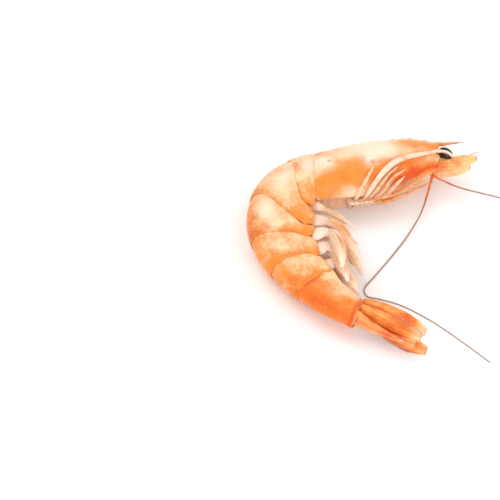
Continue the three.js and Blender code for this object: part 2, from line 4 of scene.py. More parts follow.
import bpy
import numpy as np
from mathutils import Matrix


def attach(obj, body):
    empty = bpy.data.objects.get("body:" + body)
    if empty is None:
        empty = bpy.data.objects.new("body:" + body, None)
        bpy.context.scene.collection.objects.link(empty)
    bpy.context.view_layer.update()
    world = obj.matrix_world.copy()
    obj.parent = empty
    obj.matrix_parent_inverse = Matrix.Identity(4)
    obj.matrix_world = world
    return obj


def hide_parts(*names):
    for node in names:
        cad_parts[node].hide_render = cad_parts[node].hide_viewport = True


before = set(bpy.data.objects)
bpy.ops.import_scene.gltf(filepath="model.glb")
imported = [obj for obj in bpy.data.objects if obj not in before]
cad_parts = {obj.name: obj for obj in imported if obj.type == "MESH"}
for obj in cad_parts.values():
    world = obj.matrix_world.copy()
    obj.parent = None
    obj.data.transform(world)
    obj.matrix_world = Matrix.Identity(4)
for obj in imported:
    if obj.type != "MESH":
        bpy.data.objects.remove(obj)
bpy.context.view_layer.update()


# Carapace: the stiff shield over head and chest, one closed piece of cooked shell that wraps both flanks.
# Its front edge frames the eyes, its rear edge lies as a thin lip over the first ring of the abdomen, and
# grooves and low ridges run over its sides.

MM = 0.001
GROUND = 0.35                       # the prawn lies flattened up to this height, which is then the floor
CENTRE = np.array((53.3, -3.8, GROUND))
EYE_SOCKET = (69.5, 34.6)           # start of the body's centre line, in mm
HEADING = math.radians(192)         # its direction there, towards the tail
ARC_LENGTHS = np.array((46.0, 7.0, 15.0, 14.5, 11.0, 11.5, 18.6, 25.0))
ARC_BENDS = np.radians((-1.0, 20.0, 46.0, 33.0, 14.0, 10.0, 8.5, 8.0))
LINE_ENDS = np.concatenate([[0.0], np.cumsum(ARC_LENGTHS)])
UP, DOWN, HALF, HEIGHT, ROLL = range(1, 6)
# Rows of place on the line, reach up, reach down, half width, height of the line, and roll in degrees
GIRTH = np.array((
    (-12.0, 4.0, 4.0, 3.0, 11.0, 30), (0.0, 6.2, 6.0, 5.0, 11.0, 30), (4.0, 7.6, 6.6, 5.9, 11.0, 30),
    (9.5, 9.2, 8.0, 7.2, 11.0, 30), (17.0, 10.0, 10.4, 8.5, 11.0, 29), (25.0, 10.2, 11.4, 9.0, 11.0, 28),
    (34.0, 10.0, 11.4, 9.2, 10.8, 26), (46.0, 9.4, 10.6, 9.0, 10.3, 22), (53.0, 9.6, 10.7, 9.0, 9.9, 17),
    (68.0, 10.0, 11.6, 8.7, 9.3, 8), (82.5, 9.9, 10.8, 8.1, 8.6, 3), (93.5, 9.4, 9.0, 7.3, 7.9, 2),
    (105.0, 8.2, 6.8, 6.3, 7.3, 3), (123.6, 5.8, 4.4, 4.6, 7.3, 5), (149.0, 2.0, 2.0, 4.0, 7.4, 8)))
# Where each edge between sections crosses the line, how far it runs forward on the back, and rearward below
SEAM_AT = (0, 47.9, 56.5, 71.7, 84.5, 94.9, 105.7, 123.6)
SEAM_DORSAL = (0, 3.5, 4.0, 4.6, 3.8, 2.2, 1.9, -1.0)
SEAM_VENTRAL = (6.0, 4.2, 14.0, 16.9, 6.3, 5.0, 2.2, -1.0)
SEAM_GAP = 0.6
PLATE_CORNER = -0.75
CARAPACE_OUTLINE = np.array((
    (0, 1), (0.22, 0.97), (0.5, 0.84), (0.78, 0.56), (0.95, 0.2), (1, -0.15),
    (0.96, -0.5), (0.84, -0.78), (0.66, -0.96), (0.48, -0.94), (0.3, -0.84), (0, -0.8)))
STATIONS = GIRTH[:, 0]
GIRTH_RUN = np.pad(GIRTH, ((1, 1), (0, 0)), "edge")
GIRTH_RUN = GIRTH_RUN[2:] - GIRTH_RUN[:-2]
GIRTH_SLOPES = GIRTH_RUN / GIRTH_RUN[:, :1]


def along_girth(column, s):
    """Smooth value of one column of the girth at s."""
    values, slope = GIRTH[:, column], GIRTH_SLOPES[:, column]
    s = np.clip(s, STATIONS[0], STATIONS[-1])
    i = np.clip(np.searchsorted(STATIONS, s, side="right") - 1, 0, len(STATIONS) - 2)
    step = STATIONS[i + 1] - STATIONS[i]
    f = (s - STATIONS[i]) / step
    start = (2 * f**3 - 3 * f**2 + 1) * values[i] + (f**3 - 2 * f**2 + f) * step * slope[i]
    return start + (3 * f**2 - 2 * f**3) * values[i + 1] + (f**3 - f**2) * step * slope[i + 1]


def arc_end(x, y, angle, length, bend):
    """Place and heading at the end of an arc that starts at x, y with a heading of angle."""
    chord = length * np.sinc(bend / 2 / math.pi)
    return x + chord * np.cos(angle + bend / 2), y + chord * np.sin(angle + bend / 2), angle + bend


arc_starts = [(*EYE_SOCKET, HEADING)]
for length, bend in zip(ARC_LENGTHS, ARC_BENDS):
    arc_starts.append(arc_end(*arc_starts[-1], length, bend))
arc_starts = np.array(arc_starts)
SKY = np.array((0, 0, 1.0))


def body_axes(s):
    """Origin on the centre line at s, and the directions through the back and through the right flank."""
    s = np.asarray(s, float)
    k = np.clip(np.searchsorted(LINE_ENDS, s, side="right") - 1, 0, len(ARC_LENGTHS) - 1)
    run = s - LINE_ENDS[k]
    turn = np.where(run < 0, 0.0, ARC_BENDS[k] / ARC_LENGTHS[k] * run)
    x, y, heading = arc_end(*np.moveaxis(arc_starts[k], -1, 0), run, turn)
    roll = np.radians(along_girth(ROLL, s))[..., None]
    outward = np.stack([np.sin(heading), -np.cos(heading), 0 * x], -1)
    back = outward * np.cos(roll) + SKY * np.sin(roll)
    right = SKY * np.cos(roll) - outward * np.sin(roll)
    return np.stack([x, y, along_girth(HEIGHT, s)], -1), back, right


def body_points(s, w, h):
    """Points in mm: s along the line, w mm towards the right flank, h mm towards the back."""
    s, w, h = np.broadcast_arrays(np.asarray(s, float), w, h)
    origin, back, right = body_axes(s)
    return origin + right * w[..., None] + back * h[..., None]


def outline_points(outline, t):
    """Smooth half outline at t, 0 on the back and 1 on the belly."""
    x = np.clip(t, 0, 1) * (len(outline) - 1)
    i = np.minimum(x.astype(int), len(outline) - 2)
    f = (x - i)[..., None]
    row = np.vstack([outline[1] * (-1, 1), outline, outline[-2] * (-1, 1)])
    p0, p1, p2, p3 = (row[i + n] for n in range(4))
    return 0.5 * (2 * p1 + (p2 - p0) * f + (2 * p0 - 5 * p1 + 4 * p2 - p3) * f**2
                  + (3 * p1 - p0 - 3 * p2 + p3) * f**3)


def swept_edge(k, h):
    """Place of edge k along the line, at h shares of the reach above or below it."""
    low = h if k == 0 else np.maximum(h, PLATE_CORNER)
    dorsal, ventral = SEAM_DORSAL[k], SEAM_VENTRAL[k]
    return SEAM_AT[k] - (dorsal + ventral) / 2 * low + (ventral - dorsal) / 2 * low * low


def ramp(low, high, x):
    """Rises softly from 0 at low to 1 at high."""
    f = np.clip((x - low) / (high - low), 0, 1)
    return f * f * (3 - 2 * f)


def bell(x, middle, width):
    """A soft hump, 1 in its middle."""
    return np.exp(-((x - middle) / width) ** 2)


def patch(x, y, x0, y0, rx, ry):
    """A soft round patch, 1 in its middle."""
    return np.exp(-((x - x0) / rx) ** 2 - ((y - y0) / ry) ** 2)


def ripple(points, size):
    """Slow unevenness of the surface between -1 and 1, with waves of about size mm."""
    x, y, z = (points / size).transpose(-1, *range(points.ndim - 1))
    waves = np.sin(2.1 * x + 1.3 * np.sin(1.7 * y + z)) + np.sin(2.6 * y + 1.1 * np.sin(1.9 * z - x))
    return (waves + np.sin(2.3 * z + 1.2 * np.sin(2.2 * x + 0.7 * y))) / 3


def distance_to(points, line):
    """Distance in mm of each point from a line, given as closely spaced points."""
    nearest = np.full(points.shape[:-1], np.inf)
    for spot in line:
        nearest = np.minimum(nearest, ((points - spot) ** 2).sum(-1))
    return np.sqrt(nearest)


MASKS = ("orange", "deep", "pale", "grey")


def place_piece(mesh, node):
    """Put a finished mesh in the scene, in place of the solid that it dresses."""
    piece = bpy.data.objects.new(mesh.name, mesh)
    bpy.context.scene.collection.objects.link(piece)
    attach(piece, "root")
    if node:
        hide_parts(node)


def make_piece(node, suffix, parts, material, slot, dresses=True):
    """One piece from closed skins: each part is its rings of points in mm and its masks."""
    points, faces, masks = [], [], {mask: [] for mask in MASKS}
    total = 0
    for rings, painted in parts:
        rows, count = rings.shape[:2]
        rings = np.concatenate([rings[..., :2], np.maximum(rings[..., 2:], GROUND)], axis=-1)
        grid = np.vstack([rings.reshape(-1, 3), rings[0].mean(axis=0), rings[-1].mean(axis=0)])
        here = np.arange(count)
        after = (here + 1) % count
        step = np.arange(rows - 1)[:, None] * count
        a, b = (step + here).ravel(), (step + after).ravel()
        walls = np.stack([a, b, b + count, a + count], 1)
        last = (rows - 1) * count
        caps = np.vstack([
            np.stack([after, here, np.full(count, rows * count)], 1),
            np.stack([last + here, last + after, np.full(count, rows * count + 1)], 1)])
        halves = np.vstack([walls[:, [0, 1, 2]], walls[:, [0, 2, 3]], caps])
        corners = [grid[halves[:, n]] for n in range(3)]
        if (corners[0] * np.cross(corners[1], corners[2])).sum() < 0:
            walls, caps = walls[:, ::-1], caps[:, ::-1]
        faces += (walls + total).tolist() + (caps + total).tolist()
        points.append(grid)
        for mask in MASKS:
            value = np.broadcast_to(painted.get(mask, 0.0), (rows, count))
            masks[mask].append(np.concatenate([value.ravel(), [value[0].mean(), value[-1].mean()]]))
        total += len(grid)
    mesh = bpy.data.meshes.new(f"{node}_{suffix}")
    mesh.from_pydata(((np.vstack(points) - CENTRE) * MM).tolist(), [], faces)
    for mask in MASKS:
        layer = mesh.attributes.new(mask, "FLOAT", "POINT")
        layer.data.foreach_set("value", np.clip(np.concatenate(masks[mask]), 0, 1).astype(np.float32))
    mesh.shade_smooth()
    mesh.materials.append(material)
    place_piece(mesh, node if dresses else None)


def srgb(code):
    """Linear colour and full opacity from a hex code."""
    channels = [int(code[n:n + 2], 16) / 255 for n in (1, 3, 5)]
    linear = [((c + 0.055) / 1.055) ** 2.4 if c > 0.04045 else c / 12.92 for c in channels]
    return (*linear, 1.0)


def add_node(tree, kind, inputs, **settings):
    """A node with its settings and its inputs, each a value, or a node or socket to link from."""
    node = tree.nodes.new(kind)
    for key, value in settings.items():
        setattr(node, key, value)
    for key, value in inputs.items():
        if isinstance(value, bpy.types.Node):
            value = value.outputs[0]
        if isinstance(value, bpy.types.NodeSocket):
            tree.links.new(value, node.inputs[key])
        else:
            node.inputs[key].default_value = value
    return node


def calculate(tree, operation, a, b=0.0, c=0.0, clamp=False):
    """One Math node on values, nodes or sockets."""
    return add_node(tree, "ShaderNodeMath", {0: a, 1: b, 2: c}, operation=operation, use_clamp=clamp)


def new_group(name, kind, inputs, outputs):
    """A node group with named inputs and outputs by type, and the sockets that its input node offers."""
    tree = bpy.data.node_groups.new(name, kind)
    for way, sockets in (("INPUT", inputs), ("OUTPUT", outputs)):
        for socket_type, names in sockets.items():
            for socket in names:
                tree.interface.new_socket(socket, in_out=way, socket_type=f"NodeSocket{socket_type}")
    return tree, tree.nodes.new("NodeGroupInput").outputs


def new_material(name):
    """An empty material and its node tree."""
    material = bpy.data.materials.new(name)
    material.use_nodes = True
    material.node_tree.nodes.clear()
    return material, material.node_tree


COLOURS = ("Cream", "Orange", "Deep", "Pale", "Grey")


def build_cooked_shell_group():
    """Cooked shell: cream that turns orange in cloudy patches, with fine specks."""
    tree, given = new_group("cooked shell", "ShaderNodeTree", {
        "Color": COLOURS,
        "Float": [f"{colour} Share" for colour in COLOURS[1:]] + ["Cloudiness", "Specks", "Gloss"],
    }, {"Color": ["Color"], "Float": ["Roughness", "Height"]})
    maths = partial(calculate, tree)
    place = tree.nodes.new("ShaderNodeTexCoord").outputs["Object"]

    def grain(scale, detail=3.0):
        noise = add_node(tree, "ShaderNodeTexNoise", {"Vector": place, "Scale": scale, "Detail": detail})
        return maths("SUBTRACT", noise, 0.5)

    def cloudy(share, strength):
        edge = maths("MULTIPLY", share, maths("SUBTRACT", 1.0, share))
        swing = maths("MULTIPLY", maths("MULTIPLY", drift, strength), maths("MULTIPLY_ADD", edge, 4.0, 0.25))
        return maths("ADD", share, swing, clamp=True)

    def mixed(share, a, b):
        return add_node(tree, "ShaderNodeMix", {0: share, 6: a, 7: b}, data_type="RGBA").outputs[2]

    clouds = maths("MULTIPLY", grain(210.0), given["Cloudiness"])
    mottle = maths("MULTIPLY", grain(760.0), given["Cloudiness"])
    drift = maths("ADD", clouds, maths("MULTIPLY", mottle, 0.6))
    colour = mixed(cloudy(given["Orange Share"], 1.3), given["Cream"], given["Orange"])
    colour = mixed(cloudy(given["Pale Share"], 0.9), colour, given["Pale"])
    colour = mixed(cloudy(given["Deep Share"], 1.2), colour, given["Deep"])
    colour = mixed(given["Grey Share"], colour, given["Grey"])
    specks = add_node(tree, "ShaderNodeTexVoronoi", {"Vector": place, "Scale": 1500.0, "Randomness": 1.0})
    chance = add_node(tree, "ShaderNodeSeparateColor", {0: specks.outputs["Color"]})
    dot = maths("LESS_THAN", specks.outputs["Distance"], 0.17)
    rare = maths("MULTIPLY", dot, maths("GREATER_THAN", chance, 0.62))
    colour = mixed(maths("MULTIPLY", rare, given["Specks"]), colour, given["Deep"])
    shade = maths("MULTIPLY_ADD", grain(2600.0, 2.0), 0.22, 1.0)
    tinted = add_node(tree, "ShaderNodeHueSaturation", {"Color": colour, "Value": shade})
    rough = maths("MULTIPLY_ADD", mottle, 0.35, given["Gloss"], clamp=True)
    pits = add_node(tree, "ShaderNodeTexVoronoi", {"Vector": place, "Scale": 1900.0}, feature="SMOOTH_F1")
    height = maths("MULTIPLY_ADD", pits.outputs["Distance"], 0.5, maths("MULTIPLY", mottle, 0.9))
    add_node(tree, "NodeGroupOutput", {"Color": tinted, "Roughness": rough, "Height": height})
    return tree


cooked_shell = build_cooked_shell_group()


def shell_material(name, *colours, cloudiness=1.0, specks=0.3, gloss=0.36, glow=0.22, coat=0.1):
    """A finish of cooked shell: the masks of a mesh say where each colour but the first shows."""
    material, tree = new_material(name)
    group = add_node(tree, "ShaderNodeGroup", {}, node_tree=cooked_shell)
    for key, code in zip(COLOURS, colours):
        group.inputs[key].default_value = srgb(code)
    for mask in MASKS:
        layer = add_node(tree, "ShaderNodeAttribute", {}, attribute_name=mask)
        tree.links.new(layer.outputs["Fac"], group.inputs[f"{mask.capitalize()} Share"])
    for key, value in (("Cloudiness", cloudiness), ("Specks", specks), ("Gloss", gloss)):
        group.inputs[key].default_value = value
    bumps = add_node(tree, "ShaderNodeBump", {
        "Height": group.outputs["Height"], "Strength": 0.6, "Distance": 0.00008})
    shader = add_node(tree, "ShaderNodeBsdfPrincipled", {
        "Base Color": group.outputs["Color"], "Roughness": group.outputs["Roughness"], "Normal": bumps,
        "Subsurface Weight": glow, "Subsurface Radius": (1.0, 0.45, 0.2), "Subsurface Scale": 0.003,
        "Coat Weight": coat, "Coat Roughness": 0.22, "IOR": 1.5, "Specular IOR Level": 0.32})
    add_node(tree, "ShaderNodeOutputMaterial", {"Surface": shader})
    return material


shell = shell_material("shell", "#F7D3A8", "#F28B2B", "#DB4E0B", "#FBE5D2", "#94705A", cloudiness=1.25)

CARAPACE_ROWS, CARAPACE_COUNT = 170, 240
REAR_LIP = 0.9                      # how far the rear edge lies over the first ring
CORNER_T, CORNER_LOBE = 0.69, 1.5   # the lip is longer by this share round its lower corner
WALL = 0.32                         # thickness of the shell where an edge shows it
ORBIT_DEPTH, ORBIT_T, ORBIT_WIDTH = 1.5, 0.35, 0.06     # notch of the front edge round each eye
BELLY_FOLDS = 16


def lip(reach, wall):
    """Rows that round off an edge and run back inside: place along the line and depth under the surface."""
    return [(0.35 * reach, 0), (0.7 * reach, 0), (0.9 * reach, 0.06 * wall), (reach, 0.35 * wall),
            (0.98 * reach, 0.75 * wall), (0.85 * reach, wall), (0.2 * reach, 1.1 * wall), (-1.8, 1.3 * wall)]


def skin_grid(rows, count):
    """u, t, side, reach past the edge and depth of each point of a skin, from rows of u, reach and depth."""
    u, extra, depth = (np.array(column, float)[:, None] for column in zip(*rows))
    ring = np.arange(-count // 2, count // 2)[None, :] / (count / 2)
    return np.broadcast_arrays(u, np.abs(ring), np.where(ring < 0, -1.0, 1.0), extra, depth)


def skin_points(points_at, u, t, side, extra):
    """Points of a skin in closed rings, and the directions out of it."""
    points = points_at(u, t, side, extra)
    along = points_at(u, t, side, extra + 0.05) - points_at(u, t, side, extra - 0.05)
    normal = np.cross(along, np.roll(points, -1, axis=1) - np.roll(points, 1, axis=1))
    normal /= np.maximum(np.linalg.norm(normal, axis=-1, keepdims=True), 1e-9)
    from_middle = points - points.mean(axis=1, keepdims=True)
    return points, normal * np.sign((normal * from_middle).sum())


def carapace_points(u, t, side, extra):
    """Points at u from front to rear and t from back to belly, extra mm further to the rear."""
    w, h = outline_points(CARAPACE_OUTLINE, t).transpose(2, 0, 1)
    front = swept_edge(0, h) + ORBIT_DEPTH * bell(t, ORBIT_T, ORBIT_WIDTH)
    rear = swept_edge(1, h) - SEAM_GAP / 2
    s = front + u * (rear - front) + extra
    reach = np.where(h > 0, along_girth(UP, s), along_girth(DOWN, s))
    return body_points(s, side * w * along_girth(HALF, s), h * reach)


def flank_line(stops, count=40):
    """A line over the right flank of the carapace through stops of u and t, and the same on the left."""
    stops = np.array(stops, float)
    share = np.linspace(0, len(stops) - 1, count)
    u = np.interp(share, range(len(stops)), stops[:, 0])[:, None]
    t = np.interp(share, range(len(stops)), stops[:, 1])[:, None]
    return np.vstack([carapace_points(u, t, side, 0)[:, 0] for side in (1.0, -1.0)])


rows = [(0, -extra, depth) for extra, depth in reversed(lip(0.0, WALL))]
rows += [(u, 0, 0) for u in np.linspace(0, 1, CARAPACE_ROWS)]
rows += [(1, extra, depth) for extra, depth in lip(REAR_LIP, WALL)]
u, t, side, extra, depth = skin_grid(rows, CARAPACE_COUNT)
extra = extra * np.where((u == 1) & (extra > 0), 1 + CORNER_LOBE * bell(t, CORNER_T, 0.06), 1)
surface, out = skin_points(carapace_points, u, t, side, extra)

CREASES = (                         # stops of u and t, rise in mm, and width
    # The cheek groove that curves down behind the eye, and the line under it
    (((0.40, 0.20), (0.34, 0.30), (0.29, 0.40), (0.24, 0.48), (0.16, 0.53)), -0.38, 0.75),
    (((0.16, 0.53), (0.08, 0.50), (0.0, 0.47)), -0.22, 0.6),
    # The gill groove above the legs, and the groove along the crest
    (((0.44, 0.27), (0.6, 0.235), (0.8, 0.24), (0.97, 0.27)), -0.16, 0.7),
    (((0.0, 0.13), (0.2, 0.115), (0.42, 0.10), (0.56, 0.085)), -0.28, 0.55),
    # Low ridges behind the eye and on the cheek
    (((0.02, 0.33), (0.14, 0.34), (0.25, 0.37)), 0.22, 0.6),
    (((0.26, 0.50), (0.33, 0.56), (0.42, 0.60)), 0.16, 0.8),
)
relief = 0.1 * ripple(surface, 6.0) + 0.03 * ripple(surface, 1.7)
for stops, rise, wide in CREASES:
    relief = relief + rise * bell(distance_to(surface, flank_line(stops)), 0, wide)
on_back = ramp(0.3, 0.5, u) * ramp(1.02, 0.85, u)
rear_rim = (0.14 * bell(u, 0.965, 0.012) - 0.12 * bell(u, 0.935, 0.014)) * (t < 0.7)
lower_rim = 0.16 * bell(t, 0.70, 0.012) - 0.15 * ramp(0.72, 0.78, t) * ramp(1.0, 0.9, t)
folds = 0.22 * np.cos(math.tau * BELLY_FOLDS * u) * ramp(0.79, 0.86, t)
relief = relief + 0.45 * bell(t, 0, 0.022) * on_back + rear_rim + lower_rim + folds
off_edge = ramp(0.0, 0.02, u) * ramp(1.0, 0.985, u)
relief = relief * np.where(depth > 0, 0, 0.35 + 0.65 * off_edge)
carapace_rings = surface + out * (relief - depth)[..., None]

wavy_t = t + 0.035 * ripple(surface + 20, 3.6)
at = partial(patch, u, t)                   # even patches of colour, and patches with uneven edges
wavy_at = partial(patch, u + 0.05 * ripple(surface, 4.5), wavy_t)
front_top = wavy_at(0.05, 0.2, 0.2, 0.13) + 0.5 * wavy_at(0.27, 0.24, 0.1, 0.06)
cheek = patch(u, wavy_t, 0.1, 0.57, 0.26, 0.12)
flank = wavy_at(0.68, 0.52, 0.15, 0.11) + 0.5 * wavy_at(0.72, 0.38, 0.07, 0.05)
rear_low = wavy_at(0.95, 0.62, 0.13, 0.2) + 0.5 * wavy_at(0.84, 0.44, 0.08, 0.06)
rear_top = patch(u, wavy_t, 0.96, 0.1, 0.1, 0.12)
saddle = wavy_at(0.6, 0.17, 0.2, 0.15) + wavy_at(0.46, 0.31, 0.13, 0.06)
pale_spots = wavy_at(0.58, 0.39, 0.06, 0.04) + wavy_at(0.95, 0.33, 0.08, 0.08)
# The strip along the belly edge is whitish-pink membrane. Its orange and pale shares are also painted fill
# light, because the strip faces down into shade.
belly_strip = ramp(0.71, 0.76, t)
orange = (0.3 + 0.85 * front_top + cheek + 0.85 * at(0.4, 0.5, 0.17, 0.12) + flank + rear_low
          + 0.8 * rear_top - 0.35 * saddle - 0.5 * pale_spots)
carapace_masks = {
    "orange": orange * (1 - belly_strip) + 0.4 * belly_strip,
    "deep": 0.95 * wavy_at(0.12, 0.57, 0.17, 0.07) + 0.7 * wavy_at(0.26, 0.6, 0.12, 0.1)
    + 0.35 * wavy_at(0.72, 0.5, 0.05, 0.05) + 0.45 * at(0.41, 0.55, 0.12, 0.12)
    + 0.4 * at(0.55, 0.4, 0.025, 0.025) + 0.25 * at(0.18, 0.27, 0.12, 0.02),
    "pale": 0.7 * (saddle + pale_spots) + 0.3 * belly_strip + 0.6 * wavy_at(0.66, 0.69, 0.1, 0.06),
    # grey: a small dark dot at the rear of the flank, and painted shade low on the cheek where the legs cross
    # it
    "grey": 0.6 * at(0.9, 0.33, 0.018, 0.014) + 0.4 * at(0.27, 0.67, 0.15, 0.06),
}

# Crest and rostrum: a thin upright blade of the same shell, with teeth along its upper edge that lean
# forward. It is one with the back of the carapace, and its free end stands out over the eyes.
CREST_STATIONS = (-11.8, -6, 0, 3, 8.5, 12, 20, 28)
CREST_TOP = (0.2, 0.3, 0.45, 0.5, 0.4, 0.3, 0.1, -0.3)
CREST_TEETH = (20.5, 15, 11.5, 8.5, 3, -2.5)
LOWER_TEETH = (-4.6, -6.9, -8.9)
TOOTH_HEIGHT, TOOTH_LENGTH = 0.27, 1.9
ROSTRUM_TIP, ROSTRUM_TOP = -11.8, (6.5, 5.1)


def teeth_at(s, teeth, length):
    """Height of the teeth at s as a share: steep in front, sloping behind."""
    height = np.zeros_like(s)
    for tooth in teeth:
        behind = (s - tooth) / length
        height += np.where(behind >= 0, np.clip(1 - behind, 0, 1), np.clip(1 + behind * length / 0.12, 0, 1))
    return height


def blade_rings(stations, count):
    """Rings of the upright blade, with the height in it and the nearness of a tooth as shares."""
    s = stations[:, None]
    angle = math.tau * np.arange(count)[None, :] / count
    tooth = teeth_at(s, CREST_TEETH, TOOTH_LENGTH)
    crest = np.interp(s, CREST_STATIONS, CREST_TOP)
    share = np.clip(s / ROSTRUM_TIP, 0, 1)
    free_top = ROSTRUM_TOP[0] + (ROSTRUM_TOP[1] - ROSTRUM_TOP[0]) * share**0.8 + 0.5 * crest * (share < 0.98)
    top = np.where(s > 0, along_girth(UP, s) + crest, free_top)
    top = top + tooth * TOOTH_HEIGHT * np.where(s > 0, 1, 0.6)
    depth = np.where(s > 0, 2.9 + 0.06 * s, 2.9 - 2.7 * share**0.45)
    lower = teeth_at(s, LOWER_TEETH, 1.6) * 0.2
    half = np.where(s > 0, 1.0 - 0.012 * s, 0.95 - 0.77 * share)
    v = (1 + np.cos(angle)) / 2
    h = top - depth * (1 - v) - lower * (1 - v) ** 3
    w = np.sin(angle) * half * (1 - 0.6 * v**1.2) * np.where(s > 0, 0.8, 1.0)
    w = w * (1 + 0.35 * bell(v, 0.45, 0.12) * (s < 2))
    lean = 0.45 * tooth * v**2
    return body_points(s - lean, w, h), v + 0 * s, tooth + 0 * angle


blade_stations = np.arange(27.0, ROSTRUM_TIP - 0.01, -0.12)
blade, blade_v, blade_tooth = blade_rings(blade_stations, 20)
forward = ramp(12, -6, blade_stations)[:, None]
blade_masks = {
    "orange": 0.3 + 0.6 * forward,
    "deep": 0.2 * forward * blade_v**3,
    "grey": 0.8 * ramp(0.7, 1.0, blade_tooth) * ramp(0.8, 0.97, blade_v)
    + 0.5 * ramp(0, ROSTRUM_TIP, blade_stations)[:, None],
    "pale": 0.25 * (1 - blade_v) * (1 - forward),
}
make_piece("carapace", "shell", [(carapace_rings, carapace_masks), (blade, blade_masks)], shell, "shell")


# Abdomen: six overlapping rings of thin shell round the flesh, each hinged to the next low on the flank.
# Every ring slides as a lip over the narrower neck of the one behind it, and hangs down in a side plate.

ABDOMEN_OUTLINE = np.array((
    (0, 1), (0.3, 0.96), (0.6, 0.8), (0.84, 0.5), (0.97, 0.12), (1, -0.25),
    (0.95, -0.6), (0.84, -0.9), (0.72, -1), (0.62, -0.88), (0.45, -0.66), (0, -0.6)))
TAIL_OUTLINE = np.array((
    (0, 1), (0.3, 0.93), (0.6, 0.76), (0.85, 0.48), (0.98, 0.15), (1, -0.2),
    (0.93, -0.52), (0.8, -0.76), (0.62, -0.9), (0.42, -0.97), (0.2, -1), (0, -1)))
PLATE_SHARE = (1.0, 1.0, 1.2, 1.35, 1.15, 1.02, 1.0, 1.0)      # hang of the side plates at each edge
PLATE_SHORTENING, PLATE_ROOT, FRONT_OF_TILE = 0.24, -0.3, 0.965
RING_COUNT = 220
NECK = 0.04                         # how far the neck of a ring is drawn in under the ring before it
RING_LIP = 0.85
HINGE_T = (0, 0.50, 0.47, 0.47, 0.46, 0.44)                    # height of the hinge at the rear of each ring


def ring_points(k, u, t, side, extra):
    """Points of ring k of the abdomen, with u, t and extra as on the carapace."""
    middle = LINE_ENDS[k] + u * ARC_LENGTHS[k]
    to_tail = np.clip((middle - LINE_ENDS[6]) / 6, 0, 1)[..., None]
    w, h = (outline_points(ABDOMEN_OUTLINE, t) * (1 - to_tail)
            + outline_points(TAIL_OUTLINE, t) * to_tail).transpose(2, 0, 1)
    front_of_tile = FRONT_OF_TILE + 0.028 * ramp(0.36, 0.5, t)
    tile = front_of_tile + (1 - front_of_tile) * np.clip(u / 0.3, 0, 1)
    front, rear = swept_edge(k, h) + SEAM_GAP / 2, swept_edge(k + 1, h) - SEAM_GAP / 2
    s = front + u * (rear - front) + extra
    v = u + extra / ARC_LENGTHS[k]
    lobe = PLATE_SHARE[k] + (PLATE_SHARE[k + 1] - PLATE_SHARE[k]) * u
    lobe = lobe * (1 - PLATE_SHORTENING * np.abs(v - 0.62) ** 1.5 / 0.62**1.5)
    hang = np.where((h < PLATE_ROOT) & (k < 6), PLATE_ROOT + (h - PLATE_ROOT) * lobe, h)
    reach = np.where(h > 0, along_girth(UP, s), along_girth(DOWN, s))
    return body_points(s, side * w * along_girth(HALF, s) * tile, hang * reach * tile)


